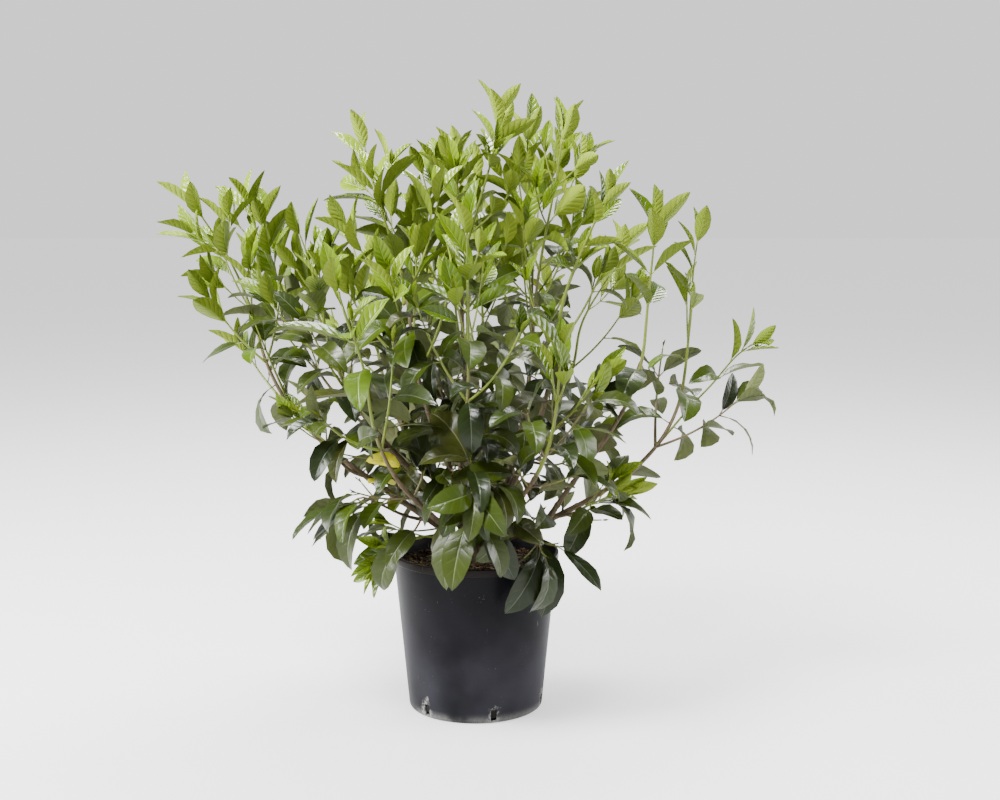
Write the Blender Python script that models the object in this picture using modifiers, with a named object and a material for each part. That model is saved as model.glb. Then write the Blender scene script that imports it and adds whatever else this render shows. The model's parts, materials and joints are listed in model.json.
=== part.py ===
"""A potted laurustinus: an evergreen shrub of many stems in a plastic nursery pot.

Everything is in metres, +Z up, with the middle of the pot's underside at the origin.
A bearing is counted from +X, towards +Y, and a lean from the vertical, both in degrees.
"""

import math
import random
from typing import NamedTuple

import bmesh
import bpy
from mathutils import Matrix, Vector
from mathutils.bvhtree import BVHTree

# Nursery pot
POT_HEIGHT = 0.232
RIM_RADIUS = 0.120
FOOT_RADIUS = 0.098
POT_WALL = 0.0020
POT_FLOOR = 0.0030
BAND_HEIGHT = 0.0105
BAND_PROUD = 0.0014
FOOT_CHAMFER = 0.0035
POT_STEPS = 30
SLOT_COUNT = 6
SLOT_WIDTH = 0.0070
SLOT_DEPTH = 0.012
SLOT_BOTTOM = 0.0045
SLOT_HEIGHT = 0.0125
SLOT_BEARING = -74.0

# Potting compost
SOIL_TOP = POT_HEIGHT - 0.016
SOIL_FLAT_RADIUS = 0.038
SOIL_FALL = 0.004
SOIL_LEVEL_EDGE = 0.012

# Clearance between touching solids
GAP = 0.0003
CUT_CLEARANCE = 0.00036

# Root crown, the short foot that every stem springs from
CROWN_FOOT = SOIL_TOP + GAP
CROWN_HEIGHT = 0.056
CROWN_RADII = (0.0270, 0.0205, 0.0175, 0.0160, 0.0120)
CROWN_SIDES = 10
CROWN_LOBES = 5
CROWN_LOBE_DEPTH = 0.16

# Limbs
LIMB_SIDES = 5
LIMB_RINGS = 9
BOUGH_RINGS = 7
LEADER_RINGS = 4
FOLIAGE_STARTS = 0.62
LIMB_TAPER = 1.15
STEM_SPREAD = 0.0095
UPRIGHT_LEAN = 30.0
CURVE_HANDLE = 0.38

# Twigs
TWIG_SIDES = 3
TWIG_TIP_RADIUS = 0.0015
TWIG_FULLNESS = 1.15
SIDE_TWIG_SHARE = 0.8
TWIG_RINGS = 3
TWIG_SPREAD_RANGE = (30, 48)
TWIG_PLACE_RANGE = (0.2, 0.6)
TWIG_TURN = 0.3
TWIG_SHARE = 0.60
TWIG_REACH_RANGE = (0.8, 1.2)
TWIG_LIFT = 0.5
TWIGS_FROM, TWIGS_TO = 0.12, 0.72
SHORTEST_TWIG, LONGEST_TWIG = 0.045, 0.150

# Leaf nodes along a shoot, counted from its tip
FIRST_NODE = 0.004
FIRST_INTERNODE = 0.015
INTERNODE_GROWTH = 0.010
LONGEST_INTERNODE = 0.046
BARE_FOOT = 0.012
RIPE_DISTANCE = 0.20
TIP_PAIRS = 0.030

# Leaf sizes
LEAF_LENGTH = 0.109
YOUNG_LEAF_SHARE = 0.92
SIDE_LEAF_SHARE = 0.92
TIP_LEAF_SHARE, LEAF_SHARE_STEP = 0.62, 0.15
LEAF_LENGTH_RANGE = (0.88, 1.12)
LEAF_SLIMNESS, LEAF_BROADENING = 0.37, 0.08
LEAF_WIDTH_RANGE = (0.93, 1.07)
LEAF_KEEL_SHARE = 0.017
THINNEST_KEEL = 0.0011
ROOT_DEPTH = 0.004
LEAF_STATIONS = (0.0, 0.30, 0.70, 1.0)
LEAF_FULLNESS = (0.0, 1.0, 0.88, 0.0)

# How leaves stand: upright and nearly flat while young, wide, drooping and curled back later
PAIR_TURN = 0.25
TIP_ANGLE, ANGLE_STEP = 20, 9
ANGLE_JITTER = 8
YOUNG_WIDEST, OLD_WIDEST = 56, 84
YOUNG_DROOP, OLD_DROOP = 0.05, 0.50
DROOP_RANGE = (0.4, 1.3)
YOUNG_SKYWARD, OLD_SKYWARD = 0.35, 0.65
YOUNG_CURL, OLD_CURL = 16, 46
CURL_RANGE = (0.6, 1.5)
OUTWARD = 0.75
ROLL = 0.4

# Room
MOST_LEAVES = 438
LEAF_CLEARANCE = 0.0006
POT_CLEARANCE = 0.0012
BLADE_STARTS = 0.007
LEAF_MIDDLE = 0.6
SPACE_EDGE = 0.020
LEAF_SPACINGS = (0.036, 0.030, 0.024, 0.018, 0.0)

DOWN = Vector((0.0, 0.0, -1.0))
UP = Vector((0.0, 0.0, 1.0))


class Limb(NamedTuple):
    """A stem or a bough: where it springs from, where its tip is, and how thick it is."""

    name: str
    parent: str
    share: float
    bearing: float
    lean: float
    tip_reach: float
    tip_bearing: float
    tip_height: float
    tip_lean: float
    foot_radius: float
    tip_radius: float
    rings: int = LIMB_RINGS


class Mass(NamedTuple):
    """A mass of foliage: the limb that carries it, and where its leading shoot ends."""

    name: str
    limb: str
    tip_reach: float
    tip_bearing: float
    tip_height: float
    tip_lean: float
    twig_pairs: int
    flush: float


class Shoot(NamedTuple):
    """A twig's path with its radii, and the way its flat foot faces."""

    path: list
    radii: list
    start_way: Vector


class Leaf(NamedTuple):
    """A leaf: its root on a twig's axis, the way it sets off, and the way its upper side faces."""

    root: Vector
    direction: Vector
    normal: Vector
    length: float
    width: float
    curl: float


class Candidate(NamedTuple):
    """A leaf that waits for its place: its turn, whether it needs room, its mass and its shoot."""

    order: float
    spaced: float
    mass: str
    shoot: Shoot
    leaf: Leaf


CROWN = "root_crown"
STEMS = (
    Limb("far_left_stem", CROWN, 0.30, 184, 50, 0.316, 176, 0.546, 12, 0.0056, 0.0026),
    Limb("left_stem", CROWN, 0.62, 200, 34, 0.208, 191, 0.538, 14, 0.0056, 0.0027),
    Limb("centre_left_stem", CROWN, 0.74, 238, 24, 0.133, 229, 0.573, 6, 0.0050, 0.0026),
    Limb("centre_stem", CROWN, 0.92, 130, 8, 0.036, 123, 0.596, 3, 0.0056, 0.0028),
    Limb("right_inner_stem", CROWN, 0.66, 345, 32, 0.119, 350, 0.550, 6, 0.0062, 0.0028),
    Limb("far_right_stem", CROWN, 0.30, 352, 64, 0.305, 4, 0.483, 6, 0.0054, 0.0024),
    Limb("back_left_stem", CROWN, 0.48, 130, 44, 0.272, 126, 0.525, 10, 0.0052, 0.0025),
    Limb("back_stem", CROWN, 0.70, 78, 34, 0.250, 88, 0.520, 8, 0.0052, 0.0025),
    Limb("front_left_stem", CROWN, 0.32, 234, 52, 0.235, 234, 0.485, 8, 0.0048, 0.0024),
    Limb("front_right_stem", CROWN, 0.42, 300, 48, 0.222, 300, 0.475, 10, 0.0048, 0.0024),
)
FORKS = (
    Limb("centre_right_stem", "right_inner_stem", 0.16, 30, 22, 0.090, 18, 0.572, 4, 0.0042, 0.0026),
    Limb("right_stem", "far_right_stem", 0.26, 348, 30, 0.244, 353, 0.552, 3, 0.0040, 0.0024),
    Limb("back_right_stem", "back_stem", 0.14, 52, 50, 0.268, 54, 0.512, 10, 0.0040, 0.0024),
    Limb("front_stem", "centre_left_stem", 0.20, 268, 38, 0.172, 268, 0.530, 6, 0.0038, 0.0024),
)
BOUGHS = tuple(
    bough._replace(rings=BOUGH_RINGS)
    for bough in (
        Limb("left_upper_bough", "left_stem", 0.44, 164, 50, 0.275, 173, 0.590, 16, 0.0026, 0.0019),
        Limb("crown_left_bough", "centre_stem", 0.40, 165, 42, 0.086, 146, 0.655, 4, 0.0026, 0.0020),
        Limb("back_crown_bough", "centre_stem", 0.30, 92, 44, 0.140, 96, 0.600, 8, 0.0027, 0.0020),
        Limb("top_back_bough", "centre_right_stem", 0.36, 66, 40, 0.118, 44, 0.640, 4, 0.0026, 0.0020),
        Limb("far_right_bough", "far_right_stem", 0.46, 18, 66, 0.345, 9, 0.460, 46, 0.0024, 0.0017),
        Limb("lower_left_bough", "far_left_stem", 0.42, 190, 84, 0.238, 187, 0.412, 70, 0.0025, 0.0018),
        Limb("low_left_bough", "far_left_stem", 0.16, 205, 82, 0.165, 202, 0.322, 64, 0.0026, 0.0019),
        Limb("right_middle_bough", "right_inner_stem", 0.40, 322, 62, 0.150, 330, 0.440, 50, 0.0025, 0.0018),
        Limb("right_low_bough", "far_right_stem", 0.30, 332, 82, 0.186, 338, 0.318, 66, 0.0025, 0.0018),
        Limb("rim_left_bough", "front_left_stem", 0.08, 222, 92, 0.108, 222, 0.268, 92, 0.0024, 0.0018),
        Limb("rim_right_bough", "front_right_stem", 0.08, 318, 92, 0.102, 322, 0.272, 90, 0.0024, 0.0018),
        Limb("front_low_bough", "front_stem", 0.24, 272, 76, 0.150, 270, 0.360, 60, 0.0025, 0.0018),
        Limb("back_low_left_bough", "back_left_stem", 0.28, 112, 80, 0.200, 116, 0.345, 66, 0.0025, 0.0018),
        Limb("back_low_right_bough", "back_right_stem", 0.26, 40, 80, 0.195, 44, 0.340, 66, 0.0025, 0.0018),
    )
)
LIMBS = STEMS + FORKS + BOUGHS

MASSES = (
    Mass("far_left_spray", "far_left_stem", 0.386, 180, 0.724, 34, 2, 0.17),
    Mass("left_shoulder_spray", "left_upper_bough", 0.335, 171, 0.733, 12, 1, 0.14),
    Mass("left_spray", "left_stem", 0.248, 192, 0.694, 20, 1, 0.13),
    Mass("left_crown_spray", "centre_left_stem", 0.152, 184, 0.800, 12, 3, 0.20),
    Mass("crown_left_spray", "crown_left_bough", 0.074, 138, 0.796, 6, 2, 0.20),
    Mass("top_spray", "centre_stem", 0.034, 10, 0.856, 4, 3, 0.24),
    Mass("top_back_spray", "top_back_bough", 0.100, 40, 0.838, 4, 2, 0.20),
    Mass("top_right_spray", "centre_right_stem", 0.124, 350, 0.832, 6, 3, 0.22),
    Mass("right_crown_spray", "right_inner_stem", 0.190, 345, 0.742, 22, 1, 0.14),
    Mass("right_spray", "right_stem", 0.257, 353, 0.711, 4, 0, 0.12),
    Mass("far_right_spray", "far_right_stem", 0.322, 5, 0.676, 8, 1, 0.14),
    Mass("far_right_low_spray", "far_right_bough", 0.399, 4, 0.532, 60, 0, 0.05),
    Mass("lower_left_spray", "lower_left_bough", 0.280, 187, 0.440, 60, 2, 0.03),
    Mass("low_left_spray", "low_left_bough", 0.222, 199, 0.310, 82, 2, 0.03),
    Mass("right_middle_spray", "right_middle_bough", 0.200, 335, 0.500, 30, 2, 0.05),
    Mass("right_low_spray", "right_low_bough", 0.236, 342, 0.320, 72, 2, 0.03),
    Mass("rim_left_spray", "rim_left_bough", 0.172, 216, 0.246, 98, 2, 0.03),
    Mass("rim_right_spray", "rim_right_bough", 0.162, 320, 0.250, 96, 2, 0.02),
    Mass("front_low_spray", "front_low_bough", 0.215, 266, 0.380, 60, 2, 0.04),
    Mass("front_left_spray", "front_left_stem", 0.298, 235, 0.630, 22, 1, 0.11),
    Mass("front_right_spray", "front_right_stem", 0.276, 300, 0.600, 22, 1, 0.08),
    Mass("front_crown_spray", "front_stem", 0.205, 268, 0.715, 12, 2, 0.16),
    Mass("back_left_spray", "back_left_stem", 0.342, 126, 0.675, 20, 2, 0.15),
    Mass("back_spray", "back_stem", 0.318, 90, 0.695, 16, 2, 0.16),
    Mass("back_right_spray", "back_right_stem", 0.330, 52, 0.665, 20, 2, 0.14),
    Mass("back_crown_spray", "back_crown_bough", 0.175, 98, 0.790, 10, 2, 0.20),
    Mass("back_low_left_spray", "back_low_left_bough", 0.285, 116, 0.385, 60, 1, 0.04),
    Mass("back_low_right_spray", "back_low_right_bough", 0.280, 46, 0.380, 60, 1, 0.04),
)


def polar(reach, bearing, height):
    """The point at a reach and a bearing from the pot's axis."""
    angle = math.radians(bearing)
    return Vector((reach * math.cos(angle), reach * math.sin(angle), height))


def heading(bearing, lean):
    """The unit vector that leans from the vertical towards a bearing."""
    return polar(math.sin(math.radians(lean)), bearing, math.cos(math.radians(lean)))


def curve_through(start, start_way, end, end_way, rings):
    """Points along a cubic curve that leaves and arrives in the given directions."""
    reach = (end - start).length * CURVE_HANDLE
    near, far = start + start_way * reach, end - end_way * reach
    points = []
    for ring in range(rings):
        t = ring / (rings - 1)
        s = 1.0 - t
        points.append(start * s**3 + near * (3 * s * s * t) + far * (3 * s * t * t) + end * t**3)
    return points


def length_of(path):
    """The length of a path of points."""
    return sum((b - a).length for a, b in zip(path, path[1:]))


def place_at(path, share):
    """The point and the unit tangent at a share of a path's length."""
    left = share * length_of(path)
    for a, b in zip(path, path[1:]):
        step = (b - a).length
        if left <= step or b is path[-1]:
            return a.lerp(b, min(1.0, left / step)), (b - a).normalized()
        left -= step


def ring_frames(path, start_way=None):
    """A side and a normal for each ring of a path, turning as little as possible."""
    normal = (path[1] - path[0]).orthogonal().normalized()
    frames = []
    for index in range(len(path)):
        before, after = path[max(index - 1, 0)], path[min(index + 1, len(path) - 1)]
        tangent = (after - before).normalized()
        if index == 0 and start_way:
            tangent = start_way
        normal = (normal - tangent * normal.dot(tangent)).normalized()
        frames.append((normal.cross(tangent), normal))
    return frames


TEMPLATES = {}


def rod_template(sides, rings):
    """A rod along Z cut into rings one unit apart, made of triangles, and each vertex's place on it."""
    key = (sides, rings)
    if key not in TEMPLATES:
        rod = bmesh.new()
        length = rings - 1
        bmesh.ops.create_cone(rod, cap_ends=True, segments=sides, radius1=1.0, radius2=1.0, depth=length)
        bmesh.ops.translate(rod, verts=rod.verts, vec=(0.0, 0.0, length / 2))
        for ring in range(1, length):
            whole = rod.verts[:] + rod.edges[:] + rod.faces[:]
            bmesh.ops.bisect_plane(rod, geom=whole, plane_co=(0, 0, ring), plane_no=(0, 0, 1))
        bmesh.ops.triangulate(rod, faces=rod.faces)
        TEMPLATES[key] = (rod, [(round(v.co.z), v.co.x, v.co.y) for v in rod.verts])
    return TEMPLATES[key]


def round_rod(path, radii, sides, start_way=None):
    """A tapering round limb or twig along a path, as a closed bmesh."""
    template, places = rod_template(sides, len(path))
    rod = template.copy()
    frames = ring_frames(path, start_way)
    for vertex, (ring, x, y) in zip(rod.verts, places):
        side, normal = frames[ring]
        vertex.co = path[ring] + (side * x + normal * y) * radii[ring]
    return rod


def leaf_midline(leaf):
    """The leaf's middle line: its points and the normal of its upper side at each, as it curls back."""
    side = leaf.direction.cross(leaf.normal).normalized()
    points, normals = [leaf.root], [leaf.normal]
    for before, after in zip(LEAF_STATIONS, LEAF_STATIONS[1:]):
        turn = Matrix.Rotation(-math.radians(leaf.curl) * (before + after) / 2, 3, side)
        points.append(points[-1] + turn @ leaf.direction * (leaf.length * (after - before)))
        normals.append(Matrix.Rotation(-math.radians(leaf.curl) * after, 3, side) @ leaf.normal)
    return points, normals, side


def leaf_blade(leaf, extra=0.0, starts=0.0):
    """A leaf as a closed bmesh: flat above, keeled below, pointed at both ends, or cut off near its root."""
    template, places = rod_template(3, len(LEAF_STATIONS))
    blade = template.copy()
    points, normals, side = leaf_midline(leaf)
    points[0] = points[0].lerp(points[1], starts / leaf.length / LEAF_STATIONS[1])
    full_keel = max(leaf.length * LEAF_KEEL_SHARE, THINNEST_KEEL)
    for vertex, (ring, x, y) in zip(blade.verts, places):
        pointed = ring in (0, len(LEAF_STATIONS) - 1)
        half_width = 0.0 if pointed else leaf.width / 2 * LEAF_FULLNESS[ring] + extra
        keel = 0.0 if pointed else full_keel + 2 * extra
        across = x / math.sin(math.radians(120)) * half_width
        depth = (y + 0.5) / 1.5 * keel - (0.0 if pointed else extra)
        vertex.co = points[ring] + side * across - normals[ring] * depth
    bmesh.ops.remove_doubles(blade, verts=blade.verts, dist=1e-7)
    return blade


def limb_route(limb, routes):
    """A limb's whole curve, from inside what carries it; its foliage's leading shoot takes over part way."""
    start = place_at(routes[limb.parent], limb.share)[0]
    if limb.parent == CROWN:
        start += heading(limb.bearing, 90) * (STEM_SPREAD * min(1.0, limb.lean / UPRIGHT_LEAN))
    tip = polar(limb.tip_reach, limb.tip_bearing, limb.tip_height)
    end_way = heading(limb.tip_bearing, limb.tip_lean)
    return curve_through(start, heading(limb.bearing, limb.lean), tip, end_way, limb.rings)


def woody_length(limb):
    """How many rings of a limb's route are bare wood, before the foliage starts."""
    return max(3, round(limb.rings * FOLIAGE_STARTS))


def limb_radii(limb, extra=0.0):
    """A limb's radius at each ring of its route."""
    radii = []
    for ring in range(limb.rings):
        t = ring / (limb.rings - 1)
        taper = (limb.foot_radius - limb.tip_radius) * (1 - t) ** LIMB_TAPER
        radii.append(limb.tip_radius + taper + extra)
    return radii


def limb_rod(limb, route, extra=0.0):
    """The bare wood of a limb as a closed bmesh."""
    rings = woody_length(limb)
    return round_rod(route[:rings], limb_radii(limb, extra)[:rings], LIMB_SIDES)


def node_distances(length):
    """Distances of the leaf nodes from a shoot's tip, close at the tip and wider apart below."""
    found, at, step = [], FIRST_NODE, FIRST_INTERNODE
    while at < length - BARE_FOOT:
        found.append(at)
        at += step
        step = min(step + INTERNODE_GROWTH, LONGEST_INTERNODE)
    return found


def leaf_at(mass, rng, node, place, out, side_shoot):
    """One leaf of a pair, from its node's number and distance, and from its place on the shoot."""
    index, distance = node
    point, tangent = place
    fresh = distance < mass.flush
    widest = YOUNG_WIDEST if fresh else OLD_WIDEST
    angle = min(TIP_ANGLE + ANGLE_STEP * index, widest) + rng.uniform(-ANGLE_JITTER, ANGLE_JITTER)
    angle = math.radians(angle)
    droop = (YOUNG_DROOP if fresh else OLD_DROOP) * rng.uniform(*DROOP_RANGE)
    way = (tangent * math.cos(angle) + out * math.sin(angle) + DOWN * droop).normalized()
    inward = (tangent - way * tangent.dot(way)).normalized()
    skyward = UP - way * UP.dot(way)
    outward = Vector((point.x, point.y, 0.0)).normalized() * OUTWARD
    blend = YOUNG_SKYWARD if fresh else OLD_SKYWARD
    normal = inward * (1 - blend) + skyward * blend + outward + way.cross(inward) * rng.uniform(-ROLL, ROLL)
    normal = (normal - way * normal.dot(way)).normalized()
    grown = min(1.0, TIP_LEAF_SHARE + LEAF_SHARE_STEP * index)
    share = (YOUNG_LEAF_SHARE if fresh else 1.0) * (SIDE_LEAF_SHARE if side_shoot else 1.0)
    length = LEAF_LENGTH * grown * share * rng.uniform(*LEAF_LENGTH_RANGE)
    ripe = min(1.0, distance / RIPE_DISTANCE)
    width = length * (LEAF_SLIMNESS + LEAF_BROADENING * ripe) * rng.uniform(*LEAF_WIDTH_RANGE)
    curl = (YOUNG_CURL if fresh else OLD_CURL) * rng.uniform(*CURL_RANGE)
    return Leaf(point - tangent * ROOT_DEPTH, way, normal, length + ROOT_DEPTH, width, curl)


def leaves_on(mass, rng, path, side_shoot):
    """The opposite pairs of leaves along a shoot, each pair square to the last, with their distances."""
    length = length_of(path)
    turn = rng.uniform(0, math.pi)
    leaves = []
    for index, distance in enumerate(node_distances(length)):
        point, tangent = place_at(path, 1.0 - distance / length)
        side = tangent.orthogonal().normalized()
        around = turn + index * math.pi / 2 + rng.uniform(-PAIR_TURN, PAIR_TURN)
        for half in (0.0, math.pi):
            out = Matrix.Rotation(around + half, 3, tangent) @ side
            leaf = leaf_at(mass, rng, (index, distance), (point, tangent), out, side_shoot)
            leaves.append((distance, leaf))
    return leaves


def leading_shoot(mass, limb, route):
    """A mass's leading shoot: it goes on along its limb's route, then on to the mass's own tip."""
    rings = woody_length(limb)
    start_way = (route[rings - 1] - route[rings - 2]).normalized()
    _, way = place_at(route, 1.0)
    tip = polar(mass.tip_reach, mass.tip_bearing, mass.tip_height)
    last = curve_through(route[-1], way, tip, heading(mass.tip_bearing, mass.tip_lean), LEADER_RINGS)
    path = [route[rings - 1] + start_way * GAP, *route[rings + 1 : -1 : 2], *last]
    foot = limb_radii(limb)[rings - 1] * TWIG_FULLNESS
    return tapered(path, foot, start_way)


def side_twigs(mass, rng, leader):
    """Opposite pairs of side twigs along a leading shoot, each pair turned square to the last."""
    length = length_of(leader.path)
    turn = rng.uniform(0, math.pi)
    twigs = []
    for pair in range(mass.twig_pairs):
        along = (pair + rng.uniform(*TWIG_PLACE_RANGE)) / mass.twig_pairs
        share = TWIGS_FROM + (TWIGS_TO - TWIGS_FROM) * along
        point, tangent = place_at(leader.path, share)
        for half in (0.0, math.pi):
            around = turn + pair * math.pi / 2 + half + rng.uniform(-TWIG_TURN, TWIG_TURN)
            out = Matrix.Rotation(around, 3, tangent) @ tangent.orthogonal().normalized()
            spread = math.radians(rng.uniform(*TWIG_SPREAD_RANGE))
            way = (tangent * math.cos(spread) + out * math.sin(spread)).normalized()
            reach = max(SHORTEST_TWIG, min(LONGEST_TWIG, length * (1 - share) * TWIG_SHARE))
            end_way = (way + (tangent + UP) * TWIG_LIFT).normalized()
            end = point + (way + end_way).normalized() * reach * rng.uniform(*TWIG_REACH_RANGE)
            foot = max(TWIG_TIP_RADIUS, leader.radii[0] * SIDE_TWIG_SHARE)
            twigs.append(tapered(curve_through(point, way, end, end_way, TWIG_RINGS), foot))
    return twigs


def grow(mass, limb, route):
    """A mass's leading shoot, its side twigs and their leaves, by one seeded rule."""
    rng = random.Random(mass.name)
    leader = leading_shoot(mass, limb, route)
    shoots = [leader, *side_twigs(mass, rng, leader)]
    leaves = [leaves_on(mass, rng, shoot.path, shoot is not leader) for shoot in shoots]
    return shoots, leaves


def tapered(path, foot_radius, start_way=None):
    """A twig that narrows evenly to its tip."""
    last = len(path) - 1
    radii = [foot_radius + (TWIG_TIP_RADIUS - foot_radius) * ring / last for ring in range(len(path))]
    return Shoot(path, radii, start_way)


def twig_rod(shoot, extra=0.0):
    """A twig as a closed bmesh."""
    return round_rod(shoot.path, [radius + extra for radius in shoot.radii], TWIG_SIDES, shoot.start_way)


class Spaces:
    """The room of each mass: all that lies nearer to its own leading shoot than to another's."""

    def __init__(self, leaders):
        self.leaders = leaders

    def distance(self, name, point):
        """How far a point lies from a mass's leading shoot."""
        path = self.leaders[name]
        found = []
        for a, b in zip(path, path[1:]):
            along = max(0.0, min(1.0, (point - a).dot(b - a) / (b - a).length_squared))
            found.append((a.lerp(b, along) - point).length)
        return min(found)

    def holds(self, name, point):
        """Whether a point lies in a mass's room, or just over its edge."""
        own = self.distance(name, point) - SPACE_EDGE
        return all(own < self.distance(other, point) for other in self.leaders if other != name)


class Crowd:
    """What has been placed so far, so that a new twig or leaf keeps clear of it."""

    def __init__(self):
        self.things = []

    def add(self, owner, shape):
        """Takes a closed bmesh as placed, and frees it."""
        middle, radius = bounding_ball(shape)
        self.things.append((owner, middle, radius, BVHTree.FromBMesh(shape)))
        shape.free()

    def touches(self, shape, owner, own):
        """Whether a bmesh crosses its owner's own things, or else anybody else's."""
        middle, radius = bounding_ball(shape)
        tree = BVHTree.FromBMesh(shape)
        for other, centre, reach, placed in self.things:
            near = (centre - middle).length < radius + reach
            if near and (other == owner) == own and tree.overlap(placed):
                return True
        return False


def bounding_ball(shape):
    """The middle and the radius of a ball round a bmesh."""
    middle = sum((v.co for v in shape.verts), Vector()) / len(shape.verts)
    return middle, max((v.co - middle).length for v in shape.verts)


def material(name, colour, roughness, metallic=0.0):
    """A plain Principled material."""
    made = bpy.data.materials.new(name)
    made.use_nodes = True
    shader = made.node_tree.nodes["Principled BSDF"]
    shader.inputs["Base Color"].default_value = (*colour, 1.0)
    shader.inputs["Roughness"].default_value = roughness
    shader.inputs["Metallic"].default_value = metallic
    return made


def object_from(name, shape, collection, finish=None):
    """An object made of a bmesh, which is freed."""
    mesh = bpy.data.meshes.new(name)
    shape.to_mesh(mesh)
    shape.free()
    if finish:
        mesh.materials.append(finish)
    made = bpy.data.objects.new(name, mesh)
    collection.objects.link(made)
    return made


def cut(target, cutter):
    """Cuts a hidden tool out of an object."""
    cutter.hide_render = True
    cutter.display_type = "WIRE"
    modifier = target.modifiers.new("cut_" + cutter.name, "BOOLEAN")
    modifier.operation = "DIFFERENCE"
    modifier.solver = "EXACT"
    modifier.object = cutter


def turned(name, profile, collection, finish):
    """A solid of revolution from a profile that starts and ends on the axis."""
    outline = bmesh.new()
    points = [outline.verts.new((x, 0.0, z)) for x, z in profile]
    for a, b in zip(points, points[1:]):
        outline.edges.new((a, b))
    made = object_from(name, outline, collection, finish)
    screw = made.modifiers.new("turn", "SCREW")
    screw.axis = "Z"
    screw.steps = screw.render_steps = POT_STEPS
    screw.use_merge_vertices = True
    screw.merge_threshold = 1e-5
    return made


def wall_radius(height):
    """The pot's outer radius at a height."""
    return FOOT_RADIUS + (RIM_RADIUS - FOOT_RADIUS) * height / POT_HEIGHT


def make_pot(collection, cutters):
    """The tapered nursery pot with its rim band and the drainage slots round its foot."""
    band_foot = POT_HEIGHT - BAND_HEIGHT
    profile = (
        (0.0, POT_FLOOR),
        (wall_radius(POT_FLOOR) - POT_WALL, POT_FLOOR),
        (RIM_RADIUS - POT_WALL, POT_HEIGHT),
        (RIM_RADIUS + BAND_PROUD, POT_HEIGHT),
        (RIM_RADIUS + BAND_PROUD, band_foot),
        (wall_radius(band_foot), band_foot),
        (wall_radius(FOOT_CHAMFER), FOOT_CHAMFER),
        (FOOT_RADIUS - FOOT_CHAMFER, 0.0),
        (0.0, 0.0),
    )
    finish = material("pot_plastic", (0.028, 0.030, 0.034), 0.42)
    pot = turned("pot", profile, collection, finish)
    for index in range(SLOT_COUNT):
        bearing = SLOT_BEARING + index * 360 / SLOT_COUNT
        tool = bmesh.new()
        bmesh.ops.create_cube(tool, size=1.0)
        bmesh.ops.scale(tool, verts=tool.verts, vec=(SLOT_DEPTH, SLOT_WIDTH, SLOT_HEIGHT))
        spot = polar(wall_radius(SLOT_BOTTOM), bearing, SLOT_BOTTOM + SLOT_HEIGHT / 2)
        place = Matrix.Translation(spot) @ Matrix.Rotation(math.radians(bearing), 4, "Z")
        bmesh.ops.transform(tool, matrix=place, verts=tool.verts)
        cut(pot, object_from(f"slot_{index}", tool, cutters))


def make_compost(collection):
    """The compost that fills the pot, flat round the shrub's foot and lower at the wall."""
    foot = POT_FLOOR + GAP
    inset = POT_WALL + GAP
    edge_top = SOIL_TOP - SOIL_FALL
    profile = (
        (0.0, SOIL_TOP),
        (SOIL_FLAT_RADIUS, SOIL_TOP),
        (wall_radius(edge_top) - inset - SOIL_LEVEL_EDGE, edge_top),
        (wall_radius(edge_top) - inset, edge_top),
        (wall_radius(foot) - inset, foot),
        (0.0, foot),
    )
    finish = material("compost", (0.045, 0.030, 0.020), 0.95)
    turned("potting_compost", profile, collection, finish)


def crown_path():
    """The root crown's axis, flat on the compost."""
    rings = len(CROWN_RADII)
    return [Vector((0.0, 0.0, CROWN_FOOT + CROWN_HEIGHT * ring / (rings - 1))) for ring in range(rings)]


def crown_shape(extra=0.0):
    """The root crown: a short flared foot with buttresses, cut flat at the compost."""
    path = crown_path()
    path[0], path[-1] = path[0] + DOWN * extra, path[-1] + UP * extra
    crown = round_rod(path, [radius + extra for radius in CROWN_RADII], CROWN_SIDES)
    for vertex in crown.verts:
        flare = max(0.0, 1.0 - (vertex.co.z - CROWN_FOOT) / CROWN_HEIGHT)
        angle = math.atan2(vertex.co.y, vertex.co.x)
        swell = 1.0 + CROWN_LOBE_DEPTH * flare * math.cos(CROWN_LOBES * angle)
        vertex.co.x *= swell
        vertex.co.y *= swell
    return crown


def make_limbs(collection, cutters, crowd):
    """The root crown, the stems and the boughs, each cut clear of what carries it; gives their routes."""
    bark = material("bark", (0.120, 0.075, 0.045), 0.80)
    young_bark = material("young_bark", (0.130, 0.150, 0.050), 0.65)
    object_from(CROWN, crown_shape(), collection, bark)
    crowd.add(CROWN, crown_shape(LEAF_CLEARANCE))
    tools = {CROWN: object_from("clear_of_" + CROWN, crown_shape(CUT_CLEARANCE), cutters)}
    routes = {CROWN: crown_path()}
    carriers = {limb.parent for limb in LIMBS}
    for limb in LIMBS:
        route = limb_route(limb, routes)
        routes[limb.name] = route
        finish = young_bark if limb in BOUGHS else bark
        cut(object_from(limb.name, limb_rod(limb, route), collection, finish), tools[limb.parent])
        crowd.add(limb.name, limb_rod(limb, route, LEAF_CLEARANCE))
        if limb.name in carriers:
            clear = limb_rod(limb, route, CUT_CLEARANCE)
            tools[limb.name] = object_from("clear_of_" + limb.name, clear, cutters)
    return routes


def pot_fence():
    """A ring of wall and compost that low leaves keep clear of."""
    fence = bmesh.new()
    bmesh.ops.create_cone(
        fence,
        cap_ends=True,
        segments=POT_STEPS,
        radius1=FOOT_RADIUS + POT_CLEARANCE,
        radius2=RIM_RADIUS + BAND_PROUD + POT_CLEARANCE,
        depth=POT_HEIGHT + 2 * POT_CLEARANCE,
    )
    bmesh.ops.translate(fence, verts=fence.verts, vec=(0.0, 0.0, POT_HEIGHT / 2))
    return fence


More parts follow.
